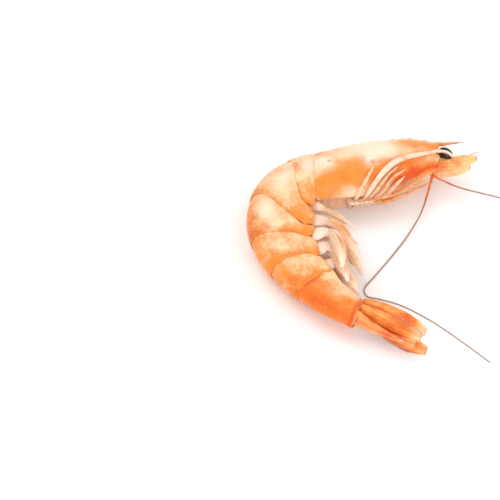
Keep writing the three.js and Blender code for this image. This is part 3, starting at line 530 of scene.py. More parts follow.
PLUG = [(0.15, 0.8), (0.5, 1.7), (0.8, 2.8)]    # rows of the flesh that closes the last ring behind
TINT_T = (0.12, 0.22, 0.34, 0.46, 0.58, 0.72)
RING_TINT = {                       # orange round each ring at those t, and its gain towards the rear
    1: ((0.5, 0.25, 0.12, 0.42, 0.85, 0.8), 0.1),
    2: ((0.7, 0.35, 0.08, 0.38, 0.85, 0.85), 0.35),
    3: ((0.95, 0.5, 0.15, 0.42, 1.0, 0.85), 0.4),
    4: ((0.75, 0.65, 0.3, 0.32, 0.5, 0.5), 0.45),
    5: ((0.75, 0.85, 0.55, 0.42, 0.42, 0.35), 0.5),
    # The last ring runs from deep orange on the back to no orange on the belly side. This is partly its own
    # colour, partly painted shade on the back and painted fill light low on the flank.
    6: ((1.05, 1.05, 0.8, 0.3, 0.05, 0.0), 0.3),
}
tail_shell = shell_material("shell_tail", "#F7CB98", "#F07D20", "#CE450B", "#FADDC0", "#8E5638")
for k in range(1, 7):
    tuck = 2.2 if k == 1 else 1.0   # the first ring reaches further in, under the rear corner of the carapace
    rows = [(0, -1.7 * tuck, 0.9), (0, -1.1 * tuck, 0.5), (0, -0.5 * tuck, 0.2)]
    rows += [(share, 0, 0) for share in np.linspace(0, 1, 26 if k == 1 else 52)]
    rows += [(1, *row) for row in (lip(RING_LIP, WALL) if k < 6 else lip(0.5, WALL)[:-1] + PLUG)]
    u, t, side, extra, depth = skin_grid(rows, RING_COUNT)
    hinge = bell(t, HINGE_T[k], 0.022) if k < 6 else 0 * t
    extra = np.where((u == 1) & (extra > 0), extra * (1 - 0.5 * hinge), extra)
    surface, out = skin_points(partial(ring_points, k), u, t, side, extra)
    thin_plate = 1 - 0.65 * bell(t, 0.7, 0.16)
    relief = 0.07 * ripple(surface, 5.0) + 0.02 * ripple(surface, 1.5)
    relief = relief - NECK * (1 - ramp(0.02, 0.34, u)) * (t < 0.8) * thin_plate
    relief = relief + 0.1 * bell(u, 0.93, 0.03) - 0.08 * bell(u, 0.86, 0.03)
    if k < 6:
        relief = relief + 0.12 * bell(t, 0.705, 0.012) - 0.1 * bell(t, 0.67, 0.015)
        relief = relief - 0.25 * bell(t, 0.47, 0.05) * ramp(0.5, 0.98, u)
    else:
        relief = relief - 0.2 * bell(t, 0.44, 0.03) * ramp(0.1, 0.4, u) * ramp(1, 0.8, u)
        relief = relief + 0.25 * bell(t, 0.37, 0.03) * ramp(0.2, 0.5, u)
    if k > 1:
        relief = relief + 0.35 * patch(u, t, 0.05, HINGE_T[k - 1], 0.05, 0.018)
    if k > 3:
        relief = relief + (0.3 if k < 6 else 0.5) * bell(t, 0, 0.02) * ramp(0.0, 0.4, u)
    relief = np.where(depth > 0, -depth * thin_plate, relief)
    rings = surface + out * relief[..., None]
    tint, rear_gain = RING_TINT[k]
    wavy_t = t + 0.03 * ripple(surface, 4.5)
    orange = np.interp(wavy_t, TINT_T, tint)
    orange = orange + rear_gain * ramp(0.6, 1.0, u + 0.1 * ripple(surface, 3.5))
    rim = bell(u, 1.0, 0.07)
    membrane = ramp(0.8, 0.86, t) if k < 6 else 0 * t
    masks = {
        "orange": (orange + 0.2 * rim) * (1 - 0.6 * membrane) + 0.15 * ripple(surface, 3.0),
        "deep": 0.12 * rim + 0.5 * patch(u, t, 0.85, 0.1, 0.3, 0.12) * (k in (3, 5)),
        # pale: on the first three rings a patch high on the flank, partly cream shell and partly a painted
        # highlight. On the last ring the low flank, partly its paler underside and partly painted fill light.
        "pale": 0.6 * patch(u, wavy_t, 0.4, 0.32, 0.3, 0.09) * (k < 4) + 0.35 * membrane
        + 0.8 * (depth > 0.6) + 0.3 * ramp(0.45, 0.6, t) * (k == 6),
        "grey": 0.5 * patch(u, t, 0.03, HINGE_T[k - 1], 0.05, 0.014) * (k > 1),
    }
    if k == 6:
        # The first patch, deep orange over the back, is partly the ring's own colour and partly painted
        # shade.
        masks["deep"] = (0.45 * patch(u, t, 0.5, 0.14, 0.45, 0.1) + 0.6 * bell(u, 0.98, 0.03)
                         + 0.6 * patch(u, t, 0.02, 0.3, 0.04, 0.12))
    finish = (tail_shell, "shell_tail") if k == 6 else (shell, "shell")
    make_piece(f"abdomen_{k}", "shell", [(rings, masks)], *finish)


# Front of the head: the soft-edged plate below the eyes that carries the roots of both pairs of feelers.
# It is grown together with the carapace, and comes out of its open front edge.

HEAD_HALF, HEAD_TOP, HEAD_BOTTOM, HEAD_NOSE = 3.9, 0.3, -5.2, -2.6
CARAPACE_REACH = 6.2                # reach of the carapace above and below the line at its front edge
head_shell = shell_material("shell_head", "#F6CB9A", "#F08A34", "#D95515", "#FBE2C6", "#7C4A34")
steps = np.linspace(-0.6, 1, 40)[:, None]
angle = math.tau * np.arange(64)[None, :] / 64
ahead = np.clip(steps, 0, 1)
shrink = 1 - 0.35 * ahead ** 2
h = (HEAD_TOP + HEAD_BOTTOM) / 2 + np.cos(angle) * (HEAD_TOP - HEAD_BOTTOM) / 2 * shrink
wall = swept_edge(0, np.minimum(0, h / CARAPACE_REACH)) - 0.45
head_rings = body_points(wall + steps * (HEAD_NOSE - wall), np.sin(angle) * HEAD_HALF * shrink, h)
out = head_rings - head_rings.mean(axis=1, keepdims=True)
out /= np.linalg.norm(out, axis=-1, keepdims=True)
lumps = 0.3 * np.cos(3 * angle) * ahead + 0.12 * ripple(head_rings, 1.6)
head_masks = {"orange": 0.75, "deep": 0.45 + 0.3 * np.cos(3 * angle), "pale": 0.2 * (steps > 0.8)}
head_rings = head_rings + out * lumps[..., None]
make_piece("head_front", "shell", [(head_rings, head_masks)], head_shell, "shell_head")


# Eyes: glossy black balls on short stalks under the brow of the carapace.
# The ball is finely faceted, and the stalk is pale shell with a darker collar where the ball begins.

EYE_S, EYE_W, EYE_H = -2.1, 5.1, 0.75
EYE_LONG, EYE_RADIUS, EYE_TILT = 2.85, 2.05, math.radians(-40)
SIDES = (("right", 1), ("left", -1))


def eye_material():
    """Glossy near-black with faint clouds and facets."""
    material, tree = new_material("eye")
    place = tree.nodes.new("ShaderNodeTexCoord").outputs["Object"]
    cloud = add_node(tree, "ShaderNodeTexNoise", {"Vector": place, "Scale": 420.0, "Detail": 2.0})
    colour = add_node(tree, "ShaderNodeMix", {
        0: calculate(tree, "MULTIPLY", cloud, 0.8), 6: srgb("#070505"), 7: srgb("#24170F")}, data_type="RGBA")
    facets = add_node(tree, "ShaderNodeTexVoronoi", {"Vector": place, "Scale": 5200.0})
    bumps = add_node(tree, "ShaderNodeBump", {"Height": facets, "Strength": 0.2, "Distance": 0.00003})
    shader = add_node(tree, "ShaderNodeBsdfPrincipled", {
        "Base Color": colour.outputs[2], "Roughness": calculate(tree, "MULTIPLY_ADD", cloud, 0.2, 0.08),
        "Normal": bumps, "Specular IOR Level": 0.3, "Coat Weight": 0.35, "Coat Roughness": 0.05})
    add_node(tree, "ShaderNodeOutputMaterial", {"Surface": shader})
    return material


eye_black = eye_material()


def unit(vector):
    """The same direction with a length of 1."""
    return vector / np.maximum(np.linalg.norm(vector, axis=-1, keepdims=True), 1e-9)


def smooth_path(stops, count):
    """Points at equal steps along a smooth curve through the stops."""
    stops = np.array(stops, float)
    row = np.vstack([2 * stops[0] - stops[1], stops, 2 * stops[-1] - stops[-2]])
    knots = np.concatenate([[0], np.cumsum(np.sqrt(np.linalg.norm(np.diff(row, axis=0), axis=1)))])
    fine = []
    for i in range(1, len(row) - 2):
        x = np.linspace(knots[i], knots[i + 1], 24)[:, None]

        def between(a, b, ka, kb):
            return a * (kb - x) / (kb - ka) + b * (x - ka) / (kb - ka)

        k0, k1, k2, k3 = knots[i - 1:i + 3]
        a1 = between(row[i - 1], row[i], k0, k1)
        a2 = between(row[i], row[i + 1], k1, k2)
        a3 = between(row[i + 1], row[i + 2], k2, k3)
        fine.append(between(between(a1, a2, k0, k2), between(a2, a3, k1, k3), k1, k2))
    fine = np.vstack(fine)
    run = np.concatenate([[0], np.cumsum(np.linalg.norm(np.diff(fine, axis=0), axis=1))])
    at = np.linspace(0, run[-1], count)
    return np.stack([np.interp(at, run, fine[:, axis]) for axis in range(3)], 1)


def limb_rings(stops, breadth, thickness, rows, count, across=None, rib=0.0):
    """Rings along a smooth path: breadth along the direction across, or level, and thickness square to it."""
    path = smooth_path(stops, rows)
    tangent = unit(np.gradient(path, axis=0))
    if across is None:
        across = np.stack([-tangent[:, 1], tangent[:, 0], 0 * tangent[:, 0]], 1)
    across = np.broadcast_to(across, path.shape)
    wide = unit(across - tangent * (across * tangent).sum(1, keepdims=True))
    thick = np.cross(tangent, wide)
    angle = math.tau * np.arange(count) / count
    share = np.linspace(0, 1, rows)
    swell = 1 + rib * np.exp(-(np.cos(angle) / 0.16) ** 2)
    b, d = breadth(share)[:, None, None], thickness(share)[:, None, None]
    return (path[:, None] + wide[:, None] * (np.cos(angle)[None, :, None] * b)
            + thick[:, None] * (np.sin(angle) * swell)[None, :, None] * d)


def limb_shares(rows, count=4):
    """Share along the rings of a limb, and place across them from 1 to -1."""
    return np.linspace(0, 1, rows)[:, None], np.cos(math.tau * np.arange(count) / count)[None, :]


for name, sign in SIDES:
    ball = body_points(EYE_S, sign * EYE_W, EYE_H)
    polar = np.linspace(0.02, math.pi - 0.02, 40)[:, None]
    turn = math.tau * np.arange(56)[None, :] / 56
    _, back, right = body_axes(EYE_S)
    long = np.cross(back, right) * math.cos(EYE_TILT) + back * math.sin(EYE_TILT)
    rings = (ball + (np.cos(polar) * EYE_RADIUS)[..., None] * right * sign
             + (np.sin(polar) * np.cos(turn) * EYE_RADIUS)[..., None] * np.cross(right, long)
             + (np.sin(polar) * np.sin(turn) * EYE_LONG)[..., None] * long)
    make_piece(f"eye_{name}", "ball", [(rings, {})], eye_black, "eye")
    root = body_points(0.9, sign * 1.5, EYE_H + 1.0)
    stops = [root + (ball - root) * share for share in (0, 0.4, 0.8)]
    stalk = limb_rings(stops, lambda x: 0.62 + 0.75 * x**1.5, lambda x: 0.6 + 0.7 * x**1.5, 26, 24, right)
    along, _ = limb_shares(26)
    stalk_masks = {"orange": 0.35 + 0.4 * along, "grey": 0.7 * ramp(0.72, 0.95, along)}
    make_piece(f"eyestalk_{name}", "shell", [(stalk, stalk_masks)], head_shell, "shell_head")


# Antennal scales and antennules: stiff leaf-shaped blades in front of the eyes, and between them the
# three-jointed stalks of the short feelers with two thin whips each. The blades' edges carry fine bristles.

scale_shell = shell_material("shell_scale", "#FBD7A0", "#F39A44", "#DB6425", "#FFEBC8", "#8A5B43",
                             cloudiness=1.2, specks=0.4)


def leaf(widest, at, root, tip):
    """Half width along a leaf: root and tip are shares of the widest."""
    def width(x):
        floor = np.where(x < at, root, tip)
        rise = np.where(x < at, x / at, (1 - x) / (1 - at))
        return widest * (floor + (1 - floor) * np.sin(math.pi / 2 * np.clip(rise, 0, 1)) ** 0.8)
    return width


def tapered(start, end, power=1.0):
    """Half width that runs from start to end along a limb."""
    return lambda x: start + (end - start) * x**power


def jointed(width, joints, swelling=0.16, at=0.012):
    """The same width with a knuckle at each joint and a waist on either side of it."""
    def knuckled(x):
        return width(x) * (1 + sum(swelling * (bell(x, j, at) - 0.9 * bell(x, j, 3 * at)) for j in joints))
    return knuckled


def jointed_limb(stops, breadth, thickness, joints, grid, across=None, **knuckle):
    """Rings of a jointed limb: breadth and thickness are given at its root and at its tip."""
    widths = [jointed(tapered(*ends), joints, **knuckle) for ends in (breadth, thickness)]
    return limb_rings(stops, *widths, *grid, across)


bristle_lines = []                  # edges that carry bristles: points, direction and length of the bristles


def fringe_edges(rings, reach, start, far_reach=None, far_start=None, far_column=None):
    """Keep the runs of both edges of a blade for its bristles, which lean outwards and towards the tip."""
    rows, count = rings.shape[:2]
    far = (far_column or count // 2, far_reach or reach, far_start or start)
    for column, length, begin in ((0, reach, start), far):
        run = rings[int(begin * rows):]
        points = run[:, column]
        lean = unit(unit(points - run.mean(axis=1)) + unit(np.gradient(points, axis=0)) * 0.75)
        share = np.linspace(0, 1, len(points))
        swell = 0.45 + 0.55 * np.sin(math.pi * np.clip(share * 0.9 + 0.1, 0, 1))
        bristle_lines.append((points, lean, length * swell))


SCALE_STOPS = ((1.9, 4.4, -3.4), (-3, 5.0, -3.6), (-8, 5.0, -3.5), (-13.6, 4.5, -3.3))
ANTENNULE_STOPS = ((-1.4, 1.6, -1.8), (-6, 1.7, -1.5), (-10, 2.2, -1.2), (-15.5, 3.4, -0.9))
ANTENNULE_JOINTS = (0.3, 0.52)
SCALE_GRID, STALK_GRID = (60, 32), (60, 20)     # rings along a limb, and points round each ring
front_back = body_axes(-5.0)[1]
for name, sign in SIDES:
    stops = [body_points(s, sign * w, h + 0.5 * sign) for s, w, h in SCALE_STOPS]
    scale = limb_rings(stops, leaf(2.15, 0.6, 0.7, 0.3), leaf(0.42, 0.4, 0.6, 0.35), *SCALE_GRID,
                       front_back, 0.6)
    along, across = limb_shares(*SCALE_GRID)
    streaks = 0.5 + 0.5 * np.cos(9 * across + 2 * along)
    strength = 1.0 if name == "right" else 0.3
    make_piece(f"antennal_scale_{name}", "blade", [(scale, {
        "orange": (0.75 + 0.3 * streaks - 0.35 * along) * strength,
        "deep": (0.5 * (1 - along) ** 2 + 0.25 * streaks * (1 - along)) * strength,
        "pale": 0.25 * streaks * along, "grey": 0.7 * ramp(0.94, 1.0, along)})], scale_shell, "shell_head")
    fringe_edges(scale, 1.2, 0.35, 1.0, 0.6)

    stops = [body_points(s, sign * w, h) for s, w, h in ANTENNULE_STOPS]
    stalk = jointed_limb(stops[:3], (0.95, 0.62), (0.8, 0.55), ANTENNULE_JOINTS, STALK_GRID, front_back)
    along, _ = limb_shares(*STALK_GRID)
    knuckles = sum(bell(along, joint, 0.03) for joint in ANTENNULE_JOINTS)
    parts = [(stalk, {"orange": 0.6 + 0.3 * along, "deep": 0.5 * knuckles})]
    for spread in (-0.35, 0.35):
        whip = [stops[2], body_points(-12.5, sign * (2.7 + spread), spread - 1.0),
                body_points(-15.5, sign * (3.3 + 1.6 * spread), 1.5 * spread - 0.9)]
        thin = tapered(0.33, 0.1)
        parts.append((limb_rings(whip, thin, thin, 40, 10), {"orange": 0.6, "grey": 0.3}))
    make_piece(f"antennule_{name}", "joints", parts, scale_shell, "shell_head")


# Long feelers: a stout two-jointed root below the head, then a whip of hundreds of short rings.
# The whips lie on the ground and taper evenly to a hair.

FEELER_STOPS = {
    "right": ((68.2, 29.1, 7.7), (76.4, 25.0, 6.6), (85.0, 23.3, 5.0), (92.4, 22.2, 3.5), (99.8, 19.5, 1.7),
              (106.1, 11.4, 0.7), (107.4, -2.8, 0.55), (103.4, -18.7, 0.5), (96.0, -30.9, 0.4)),
    "left": ((67.1, 27.9, 5.6), (65.3, 22.3, 4.2), (62.6, 15.2, 2.6), (57.3, 6.1, 1.1), (51.2, -2.8, 0.65),
             (44.1, -12.5, 0.6), (39.9, -18.6, 0.6), (40.7, -21.5, 0.6), (44.7, -22.7, 0.6),
             (51.9, -25.3, 0.55), (61.6, -31.8, 0.5), (70.9, -40.2, 0.45), (79.9, -49.2, 0.4)),
}
feeler_skin = shell_material("feeler", "#C99A80", "#BE6A3A", "#8E4A28", "#D9B9A6", "#8C6C60",
                             cloudiness=0.7, specks=0.1, gloss=0.45, glow=0.05, coat=0.2)


def build_ringed_whip_tree():
    """A tapering tube along a line of edges, cut by fine rings at an even pitch."""
    tree, given = new_group("ringed whip", "GeometryNodeTree", {
        "Geometry": ["Geometry"], "Float": ["Pitch", "Ring Depth"], "Int": ["Sides"],
        "Material": ["Material"]}, {"Geometry": ["Geometry"]})
    maths, add = partial(calculate, tree), partial(add_node, tree)
    curve = add("GeometryNodeMeshToCurve", {"Mesh": given["Geometry"]})
    step = maths("DIVIDE", given["Pitch"], 2.0)
    even = add("GeometryNodeResampleCurve", {"Curve": curve, "Length": step}, mode="LENGTH")
    odd = maths("MODULO", tree.nodes.new("GeometryNodeInputIndex"), 2.0)
    waist = maths("SUBTRACT", 1.0, maths("MULTIPLY", odd, given["Ring Depth"]))
    girth = add("GeometryNodeInputNamedAttribute", {"Name": "girth"}, data_type="FLOAT")
    radius = maths("MULTIPLY", girth, waist)
    sized = add("GeometryNodeSetCurveRadius", {"Curve": even, "Radius": radius})
    circle = add("GeometryNodeCurvePrimitiveCircle", {"Resolution": given["Sides"], "Radius": 1.0})
    tube = add("GeometryNodeCurveToMesh", {
        "Curve": sized, "Profile Curve": circle, "Fill Caps": True, "Scale": radius})
    real = add("GeometryNodeRealizeInstances", {"Geometry": tube})
    smooth = add("GeometryNodeSetShadeSmooth", {"Geometry": real})
    done = add("GeometryNodeSetMaterial", {"Geometry": smooth, "Material": given["Material"]})
    add("NodeGroupOutput", {"Geometry": done})
    return tree


def grow_piece(name, lines, tree, values, node=None):
    """Run a node tree over polylines with their attributes and keep the result as a plain mesh."""
    seed = bpy.data.meshes.new(name + "_lines")
    edges, start = [], 0
    for line in lines:
        edges += [(n, n + 1) for n in range(start, start + len(line["points"]) - 1)]
        start += len(line["points"])
    data = {key: np.concatenate([line[key] for line in lines]) for key in lines[0]}
    seed.from_pydata(((data.pop("points") - CENTRE) * MM).tolist(), edges, [])
    for key, column in data.items():
        kind, entry = ("FLOAT_VECTOR", "vector") if column.ndim == 2 else ("FLOAT", "value")
        layer = seed.attributes.new(key, kind, "POINT")
        layer.data.foreach_set(entry, column.astype(np.float32).ravel())
    carrier = bpy.data.objects.new(name + "_carrier", seed)
    bpy.context.scene.collection.objects.link(carrier)
    modifier = carrier.modifiers.new("grow", "NODES")
    modifier.node_group = tree
    for socket in tree.interface.items_tree:
        if socket.in_out == "INPUT" and socket.name in values:
            modifier[socket.identifier] = values[socket.name]
    mesh = bpy.data.meshes.new_from_object(carrier.evaluated_get(bpy.context.evaluated_depsgraph_get()))
    mesh.name = name
    for vertex in mesh.vertices:
        vertex.co.z = max(vertex.co.z, 0.0)
    bpy.data.objects.remove(carrier)
    place_piece(mesh, node)


FEELER_JOINTS, ROOT_GRID = (0.3, 0.55), (50, 22)
FEELER_STEPS, WHIP_START, ROOT_END = 400, 16, 34        # the root covers the start of the whip
ringed_whip = build_ringed_whip_tree()
for name, sign in SIDES:
    path = smooth_path(FEELER_STOPS[name], FEELER_STEPS)
    share = np.linspace(0, 1, FEELER_STEPS)[WHIP_START:]
    whip = {"points": path[WHIP_START:], "girth": np.maximum(0.2, 0.34 - 0.2 * share) * MM,
            "orange": (1 - share) ** 4, "deep": 0.8 * (1 - share) ** 8,
            "pale": 0.5 * ramp(0.55, 1.0, share), "grey": 0.75 * ramp(0.02, 0.25, share)}
    grow_piece(f"antenna_{name}_whip", [whip], ringed_whip, {
        "Pitch": 0.55 * MM, "Ring Depth": 0.16, "Sides": 10, "Material": feeler_skin,
    }, f"antenna_{name}")
    base = np.vstack([path[0] - (path[1] - path[0]) * 14, path[:ROOT_END]])
    root = jointed_limb(base[::4], (0.72, 0.34, 0.6), (0.68, 0.32, 0.6), FEELER_JOINTS, ROOT_GRID,
                        swelling=0.2, at=0.03)
    along, _ = limb_shares(*ROOT_GRID)
    knuckles = sum(bell(along, joint, 0.05) for joint in FEELER_JOINTS)
    root_masks = {"orange": 0.9, "deep": 0.3 + 0.5 * knuckles, "grey": 0.6 * ramp(0.5, 1.0, along)}
    make_piece(f"antenna_{name}", "root", [(root, root_masks)], head_shell, "feeler", dresses=False)


# Walking legs: five on each side, thin jointed tubes of pale shell. The right ones are folded forward over
# the flank, the left ones run forward under the body, and the front three of each side end in small pincers.

limb_shell = shell_material("limb", "#F5CEA6", "#EA954E", "#B4521C", "#FAE4D6", "#8B6450",
                            cloudiness=1.1, specks=0.15, gloss=0.38, glow=0.25)


def flank_point(s, t, lift):
    """Point over the right flank of the carapace: s along the line, t from the back, lifted off the shell."""
    def spot(shift):
        w, h = outline_points(CARAPACE_OUTLINE, np.array([np.clip(t + shift, 0, 1)]))[0]
        reach = along_girth(UP, s) if h > 0 else along_girth(DOWN, s)
        return np.array((w * along_girth(HALF, s), h * reach))
    here, before, after = spot(0), spot(-0.03), spot(0.03)
    run = after - before
    w, h = here + np.array((-run[1], run[0])) / np.hypot(*run) * lift
    return body_points(s, w, h)


LEG_ROOT_W, LEG_ROOT_H, LEG_ROOT_BREADTH = 1.7, -10.4, 0.6
BELLY_EDGE_T, BELLY_EDGE_LIFT = 0.785, 1.3
LEG_THICKNESS = 0.42
# Rear leg first: place of the root, half breadth, lift off the shell, orange, and s and t of the stops
RIGHT_LEGS = (
    (36.0, 0.95, 0.9, 0.3, ((34.6, 0.73), (33.6, 0.672), (31.3, 0.585), (29.4, 0.525), (26.8, 0.455))),
    (34.2, 1.4, 1.3, 0.1, ((31.9, 0.74), (29.9, 0.662), (26.4, 0.562), (23.3, 0.5), (19.9, 0.452),
                           (16.6, 0.422), (12.5, 0.4), (8.4, 0.386), (4.3, 0.374), (0.9, 0.355))),
    (32.4, 1.0, 0.8, 0.3, ((29.3, 0.72), (26.8, 0.648), (24.2, 0.58), (21.6, 0.525), (18.6, 0.486))),
    (30.6, 1.05, 0.8, 0.45, ((27.4, 0.745), (24.2, 0.665), (22.1, 0.602), (19.8, 0.556), (16.4, 0.525))),
    (28.8, 1.35, 0.85, 0.3, ((25.9, 0.79), (23.9, 0.744), (21.7, 0.685), (19.6, 0.64), (17.0, 0.595))),
)
LEG_JOINTS = (0.14, 0.3, 0.58, 0.8)
LEG_GRID, HIP_GRID, LEFT_GRID = (150, 22), (30, 22), (110, 16)
LEFT_LANES = (-5.4, -4.2, -3.0, -1.75, -0.45)


def swelling(root, widest, tip):
    """Half width that grows to the middle of a leg and shrinks to its tip."""
    return lambda x: np.where(x < 0.5, root + (widest - root) * x / 0.5,
                              widest + (tip - widest) * np.clip(2 * x - 1, 0, 1) ** 1.5)


def leg_masks(rows, count, orange=0.3):
    """Pale legs with orange edges and knuckles."""
    along, across = limb_shares(rows, count)
    edge = np.abs(across)
    knuckles = sum(bell(along, joint, 0.02) for joint in LEG_JOINTS)
    bands = 0.1 * np.cos(3 * math.pi * along)
    return {"orange": orange + bands + 0.25 * knuckles + 0.5 * edge**6 + 0.2 * along**3,
            "deep": 0.2 * knuckles + 0.35 * edge**8, "pale": (0.6 - orange) * (1 - edge**4)}


def pincer(rings, wide):
    """Two short fingers beyond the end of a leg."""
    tip, before = rings[-1].mean(axis=0), rings[-4].mean(axis=0)
    ahead = unit(tip - before)
    side = unit(SKY - ahead * (SKY @ ahead)) * wide
    fingers = []
    for sign in (1, -1):
        apart = side * sign
        stops = [tip - ahead * 0.6, tip + ahead * 0.7 + apart * 0.55, tip + ahead * 1.6 + apart * 0.2]
        widths = [tapered(wide * root, wide * 0.12) for root in (0.5, 0.45)]
        fingers.append((limb_rings(stops, *widths, 14, 10), {"orange": 0.6, "pale": 0.2}))
    return fingers


def make_leg(side, n, leg, masks, finger_width, more=()):
    """One leg, with a pincer on the front three of its side."""
    parts = [(leg, masks), *more]
    if n > 1:
        parts += pincer(leg, finger_width)
    make_piece(f"leg_{side}_{n + 1}", "joints", parts, limb_shell, "limb")


for n, (base, wide, lift, orange, drape) in enumerate(RIGHT_LEGS):
    stops = [body_points(base, LEG_ROOT_W, LEG_ROOT_H + 0.8),
             body_points(base - 0.4, LEG_ROOT_W + 1.8, LEG_ROOT_H - 1.7),
             flank_point(base - 1.0, BELLY_EDGE_T, BELLY_EDGE_LIFT)]
    hip = limb_rings(stops, lambda x: 1.15 + 0.35 * np.sin(math.pi * x),
                     lambda x: 1.35 - 0.6 * x**3, *HIP_GRID)
    stops += [flank_point(s, t, lift - 0.15) for s, t in drape]
    if n == 1:
        stops += [body_points(-1.9, 7.1, 0.7), body_points(-4.1, 6.6, -1.3)]
    breadth = jointed(swelling(LEG_ROOT_BREADTH, wide, 0.4 * wide), LEG_JOINTS, 0.05)
    leg = limb_rings(stops, breadth, jointed(lambda x: LEG_THICKNESS + 0 * x, LEG_JOINTS, 0.08), *LEG_GRID)
    hip_masks = {"orange": 0.3 * (1 - limb_shares(*HIP_GRID)[0]), "pale": 0.6}
    make_leg("right", n, leg, leg_masks(*LEG_GRID, orange), 0.5 * wide, [(hip, hip_masks)])

for n, lane in enumerate(LEFT_LANES):
    base = RIGHT_LEGS[n][0]
    stops = [body_points(base, max(lane + 0.6, -1.0), LEG_ROOT_H + 1.0),
             body_points(base - 0.7, (lane - 1.0) / 2 - 0.2, LEG_ROOT_H - 1.0)]
    for s in (base - 1.6, base - 6, base - 11, base - 14 - 2 * n):
        stops.append(body_points(s, lane, -0.84 * along_girth(DOWN, s) - (1.9 if lane < -3.5 else 1.2)))
    leg = jointed_limb(stops, (0.62, 0.3), (0.55, 0.28), LEG_JOINTS, LEFT_GRID, SKY)
    make_leg("left", n, leg, leg_masks(*LEFT_GRID), 0.45)


# Jaw legs: the foremost pair, stouter and hairy, of the same pale shell. The right one lies along the lower
# edge of the carapace, and the left one is folded forward under the head.

JAW_JOINTS, JAW_GRID = (0.25, 0.5, 0.75), (90, 16)
JAW_DRAPE = ((24.0, 0.81), (20.0, 0.775), (16.4, 0.72), (11.5, 0.69), (6.8, 0.675))
JAW_UNDER = ((25.8, -10.6), (24.2, -12.8), (18, -12.1), (11, -10.1), (5, -8.4))
JAW_LEGS = {
    "right": [body_points(26.0, 3.0, -10.8)] + [flank_point(s, t, 1.0) for s, t in JAW_DRAPE],
    "left": [body_points(s, 1.0, h) for s, h in JAW_UNDER],
}
for name, stops in JAW_LEGS.items():
    jaw = jointed_limb(stops, (0.8, 0.3), (0.6, 0.28), JAW_JOINTS, JAW_GRID, body_axes(15.0)[1])
    make_piece(f"maxilliped_{name}", "joints", [(jaw, leg_masks(*JAW_GRID, 0.65))], limb_shell, "limb")
    fringe_edges(jaw, 1.1, 0.3, 0.9)


# Swimmerets: under each of the first five rings a pair of flat stalks, each with a long outer and a shorter
# inner blade. The blades are thin and ribbed along the middle, and fringed with bristles.

# Stops of the right one in mm, half width of its blade and of its stalk, and orange
SWIMMERETS = (
    (((31.0, 6.3, 11.5), (35.1, 2.3, 11.5), (38.1, -0.3, 11.0)), 1.2, 2.1, 0.35),
    (((29.6, 1.2, 13.0), (34.7, -7.7, 13.0), (38.5, -16.3, 12.0)), 1.9, 2.7, 0.8),
    (((27.9, -4.4, 14.6), (31.0, -12.6, 15.6), (31.2, -21.5, 14.6)), 2.2, 2.7, 0.1),
    (((27.8, -8.8, 12.2), (31.6, -17.2, 12.2), (33.6, -25.0, 11.6)), 2.0, 2.6, 0.4),
    (((29.4, -14.4, 10.4), (33.6, -19.8, 9.8), (37.0, -26.8, 9.2)), 1.9, 2.2, 0.5),
)
LEFT_DROP, PATH_STEPS, STALK_SHARE = 7.4, 60, 0.34
PADDLE_GRID, OUTER_GRID, INNER_GRID = (40, 24), (70, 40), (60, 24)
for n, (right_stops, wide, stalk_half, orange) in enumerate(SWIMMERETS):
    k = n + 1
    middle = (swept_edge(k, PLATE_CORNER) + swept_edge(k + 1, PLATE_CORNER)) / 2
    hang = (PLATE_SHARE[k] + PLATE_SHARE[k + 1]) / 2
    belly = PLATE_ROOT * (1 + 1.07 * hang) * along_girth(DOWN, middle)
    for name, sign in SIDES:
        root = body_points(middle, sign * 2.6, belly - 0.2)
        shift = np.zeros(3) if sign > 0 else np.array((1.5, -1.0, -LEFT_DROP))
        path = smooth_path([root] + [np.array(stop) + shift for stop in right_stops], PATH_STEPS)
        cut = int(PATH_STEPS * STALK_SHARE)
        stalk = limb_rings(
            path[:cut + 1:5], lambda x: stalk_half * (0.8 + 0.25 * np.sin(math.pi * x)) * (1 - 0.25 * x**6),
            lambda x: 0.95 * (1 - 0.25 * x**4), *PADDLE_GRID)
        along, _ = limb_shares(*PADDLE_GRID)
        stalk_masks = {"orange": 0.15 + orange * ramp(0.5, 1.0, along), "pale": 0.8 - 0.5 * orange * along}
        outer = limb_rings(path[cut - 4::8], leaf(wide, 0.28, 0.8, 0.2), leaf(0.5, 0.3, 0.8, 0.3),
                           *OUTER_GRID, rib=0.5)
        along, across = limb_shares(*OUTER_GRID)
        edge = np.abs(across)
        band = patch(along, across, 0.35, 0.0, 0.35, 0.9)
        streaks = 0.5 + 0.5 * np.cos(8 * across + 2 * np.sin(3 * across + 3 * along) + n)
        outer_masks = {
            "orange": 0.1 + 0.8 * orange * band + 0.35 * streaks + 0.2 * (edge > 0.85) * (1 - along),
            "pale": 0.6 * ramp(0.55, 1.0, along) + 0.5 * (1 - orange) * (1 - streaks),
            "deep": 0.15 * streaks * band + 0.3 * (edge > 0.92) * (1 - along)}
        aside = unit(np.cross(path[-1] - path[cut], SKY)) * wide * 0.8 - SKY * 0.8
        beside = path[cut - 2:]
        beside = beside + aside * np.linspace(0, 1, len(beside))[:, None]
        inner = limb_rings(beside[:int(len(beside) * 0.8):7], leaf(wide * 0.8, 0.3, 0.8, 0.2),
                           leaf(0.38, 0.4, 0.8, 0.3), *INNER_GRID, rib=0.5)
        along, across = limb_shares(*INNER_GRID)
        inner_masks = {"orange": 0.35 + 0.5 * (np.abs(across) > 0.7) * (1 - along), "pale": 0.3}
        make_piece(f"swimmeret_{name}_{k}", "blades", [
            (stalk, stalk_masks), (outer, outer_masks), (inner, inner_masks)], limb_shell, "limb")
        fringe_edges(outer, 1.3, 0.15, far_column=14)
        fringe_edges(inner, 1.3, 0.15)
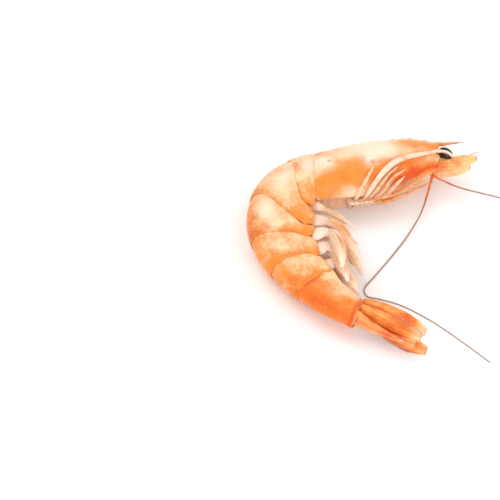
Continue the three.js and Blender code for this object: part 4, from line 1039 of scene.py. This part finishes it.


# Tail fan: a pointed middle blade, and two oval blades on either side, hinged to the last ring.
# The blades are stiff translucent shell with raised ribs and a fringe along their outer ends.

fan_shell = shell_material("tail_blade", "#F6BA70", "#F07A10", "#CC3C06", "#FADDBC", "#83401F",
                           cloudiness=0.9, specks=0.2, gloss=0.3, glow=0.3, coat=0.4)
FAN_ROOT, FAN_TILT = LINE_ENDS[7] + 1.4, math.radians(15)
TELSON_GRID, BLADE_GRID = (90, 36), (100, 36)
TELSON_STOPS = ((-1.2, -0.2, 1.3), (6, -0.1, 1.8), (12, 0.1, 1.8), (17.5, 0.4, 1.6))
FAN_BLADES = {                      # stops: mm from the root of the fan, to the right and towards the back
    "uropod_inner_right": ((-1.0, 2.1, -0.4), (6, 3.2, -0.3), (13, 3.3, -0.4), (22.0, 3.2, -0.5)),
    "uropod_inner_left": ((-0.6, -1.2, -1.5), (6, -1.8, -1.5), (13, -2.0, -1.3), (20.5, -1.9, -1.0)),
    "uropod_outer_right": ((-1.0, 3.2, -2.1), (6, 4.9, -2.0), (14, 5.7, -1.7), (22.8, 5.5, -1.5)),
    "uropod_outer_left": ((-0.6, -1.7, -2.8), (6, -3.0, -2.8), (14, -3.8, -2.5), (24.4, -3.5, -2.2)),
}


def fan_masks(rows, count, tip_pale):
    """Orange blades streaked lengthwise, with a deep rim and a pale end."""
    along, across = limb_shares(rows, count)
    streaks = 0.5 + 0.5 * np.cos(9 * across + 2.5 * np.sin(4 * across + 2 * along))
    fade = 1 - 0.7 * tip_pale * ramp(0.75, 1.0, along)
    return {"orange": (1.0 - 0.5 * streaks * (1 - 0.4 * along)) * fade,
            "deep": 0.45 * (1 - streaks) * bell(along, 0.6, 0.35) + 0.7 * np.abs(across) ** 10,
            "pale": tip_pale * ramp(0.8, 0.95, along) * (0.5 + 0.5 * streaks),
            "grey": 0.5 * ramp(0.975, 1.0, along)}


def fan_path(stops):
    """Stops of a blade, measured from the root of the fan."""
    return [body_points(FAN_ROOT + d, w, h) for d, w, h in stops]


telson = limb_rings(fan_path(TELSON_STOPS), lambda x: 3.5 * (1 - x) ** 0.85 + 0.3,
                    lambda x: 0.9 * (1 - x) + 0.25, *TELSON_GRID, body_axes(FAN_ROOT + 8)[2])
telson_masks = fan_masks(*TELSON_GRID, 0.5)
telson_masks["orange"] = telson_masks["orange"] - 0.3
make_piece("telson", "blade", [(telson, telson_masks)], fan_shell, "tail_blade")
_, fan_back, fan_right = body_axes(FAN_ROOT + 10)
across_blades = fan_right * math.cos(FAN_TILT) - fan_back * math.sin(FAN_TILT)
for name, stops in FAN_BLADES.items():
    width = leaf(3.7, 0.58, 0.62, 0.4) if "outer" in name else leaf(3.3, 0.55, 0.75, 0.4)
    blade = limb_rings(fan_path(stops), width, leaf(0.4, 0.3, 0.8, 0.4), *BLADE_GRID, across_blades, 0.7)
    # The left blades lie lower, in the shade, and get much less of the pale end than the right ones: painted
    # shade.
    blade_masks = fan_masks(*BLADE_GRID, 0.9 if "right" in name else 0.4)
    make_piece(name, "blade", [(blade, blade_masks)], fan_shell, "tail_blade")
    fringe_edges(blade, 1.2, 0.45)


# Bristles: fine stiff hairs along the edges of scales, jaw legs, swimmerets and tail fan. They grow on the
# edges kept above at an even spacing, each a thin tapered spike that leans towards the tip of its blade.

def build_fringe_tree():
    """Small tapered hairs along lines of edges, leaning along a direction given at each point."""
    tree, given = new_group("fringe", "GeometryNodeTree", {
        "Geometry": ["Geometry"], "Float": ["Spacing", "Thickness", "Jitter"], "Int": ["Seed"],
        "Material": ["Material"]}, {"Geometry": ["Geometry"]})
    add = partial(add_node, tree)
    curve = add("GeometryNodeMeshToCurve", {"Mesh": given["Geometry"]})
    even = add("GeometryNodeResampleCurve", {"Curve": curve, "Length": given["Spacing"]}, mode="LENGTH")
    lean = add("GeometryNodeInputNamedAttribute", {"Name": "lean"}, data_type="FLOAT_VECTOR")
    reach = add("GeometryNodeInputNamedAttribute", {"Name": "reach"}, data_type="FLOAT")
    stray = add("FunctionNodeRandomValue", {
        0: (-1.0, -1.0, -1.0), 1: (1.0, 1.0, 1.0), "Seed": given["Seed"]}, data_type="FLOAT_VECTOR")
    scaled = add("ShaderNodeVectorMath", {0: stray, "Scale": given["Jitter"]}, operation="SCALE")
    way = add("ShaderNodeVectorMath", {0: lean, 1: scaled}, operation="ADD")
    turn = add("FunctionNodeAlignRotationToVector", {"Vector": way}, axis="Z")
    uneven = add("FunctionNodeRandomValue", {2: 0.7, 3: 1.15, "Seed": given["Seed"]}, data_type="FLOAT")
    length = calculate(tree, "MULTIPLY", reach, uneven.outputs[1])
    hair = add("GeometryNodeMeshCone", {
        "Vertices": 4, "Radius Top": 0.0, "Radius Bottom": given["Thickness"], "Depth": 1.0})
    size = add("ShaderNodeCombineXYZ", {"X": 1.0, "Y": 1.0, "Z": length})
    hairs = add("GeometryNodeInstanceOnPoints", {
        "Points": even, "Instance": hair, "Rotation": turn, "Scale": size})
    real = add("GeometryNodeRealizeInstances", {"Geometry": hairs})
    done = add("GeometryNodeSetMaterial", {"Geometry": real, "Material": given["Material"]})
    add("NodeGroupOutput", {"Geometry": done})
    return tree


edges = [{"points": points, "lean": lean, "reach": reach * MM, "pale": np.full(len(points), 0.5),
          "orange": np.full(len(points), 0.5)} for points, lean, reach in bristle_lines]
grow_piece("bristles", edges, build_fringe_tree(), {
    "Spacing": 0.3 * MM, "Thickness": 0.05 * MM, "Jitter": 0.22, "Seed": 7, "Material": limb_shell})


# Floor, light and camera: a plain white table under soft daylight. The camera looks down at 50 degrees, and
# the prawn lies to the right of the middle of its frame.

floor_mesh = bpy.data.meshes.new("floor")
corners = [(x, y, -0.0001) for x, y in ((-3, -3), (3, -3), (3, 3), (-3, 3))]
floor_mesh.from_pydata(corners, [], [(0, 1, 2, 3)])
white, tree = new_material("white_table")
matt = add_node(tree, "ShaderNodeBsdfPrincipled", {"Base Color": (0.96, 0.955, 0.955, 1), "Roughness": 0.5})
add_node(tree, "ShaderNodeOutputMaterial", {"Surface": matt})
floor_mesh.materials.append(white)
floor = bpy.data.objects.new("floor", floor_mesh)
scene = bpy.context.scene
scene.collection.objects.link(floor)

world = bpy.data.worlds.new("sky")
world.use_nodes = True
sky = world.node_tree.nodes["Background"].inputs
sky["Color"].default_value = (1.0, 0.99, 0.98, 1)
sky["Strength"].default_value = 0.78
scene.world = world


def soft_light(name, place, size, power):
    """A round lamp that faces the prawn."""
    lamp = bpy.data.lights.new(name, "AREA")
    lamp.shape = "DISK"
    lamp.size = size
    lamp.energy = power
    holder = bpy.data.objects.new(name, lamp)
    scene.collection.objects.link(holder)
    holder.location = place
    x, y, z = place
    holder.rotation_euler = (math.acos(z / math.hypot(x, y, z)), 0, math.atan2(-x, y) + math.pi)


soft_light("window", (-0.4, 0.3, 0.8), 0.6, 2.3)
soft_light("bounce", (0.5, 0.2, 0.35), 0.9, 1.1)
soft_light("fill", (0.1, -0.7, 0.36), 0.9, 3.2)

camera = bpy.data.cameras.new("camera")
camera.lens = 85
camera.sensor_width = 36
viewer = bpy.data.objects.new("camera", camera)
scene.collection.objects.link(viewer)
viewer.location = (-0.0533, -0.26938, 0.32522)
viewer.rotation_euler = (math.radians(40), 0, 0)
scene.camera = viewer
scene.view_settings.view_transform = "Standard"
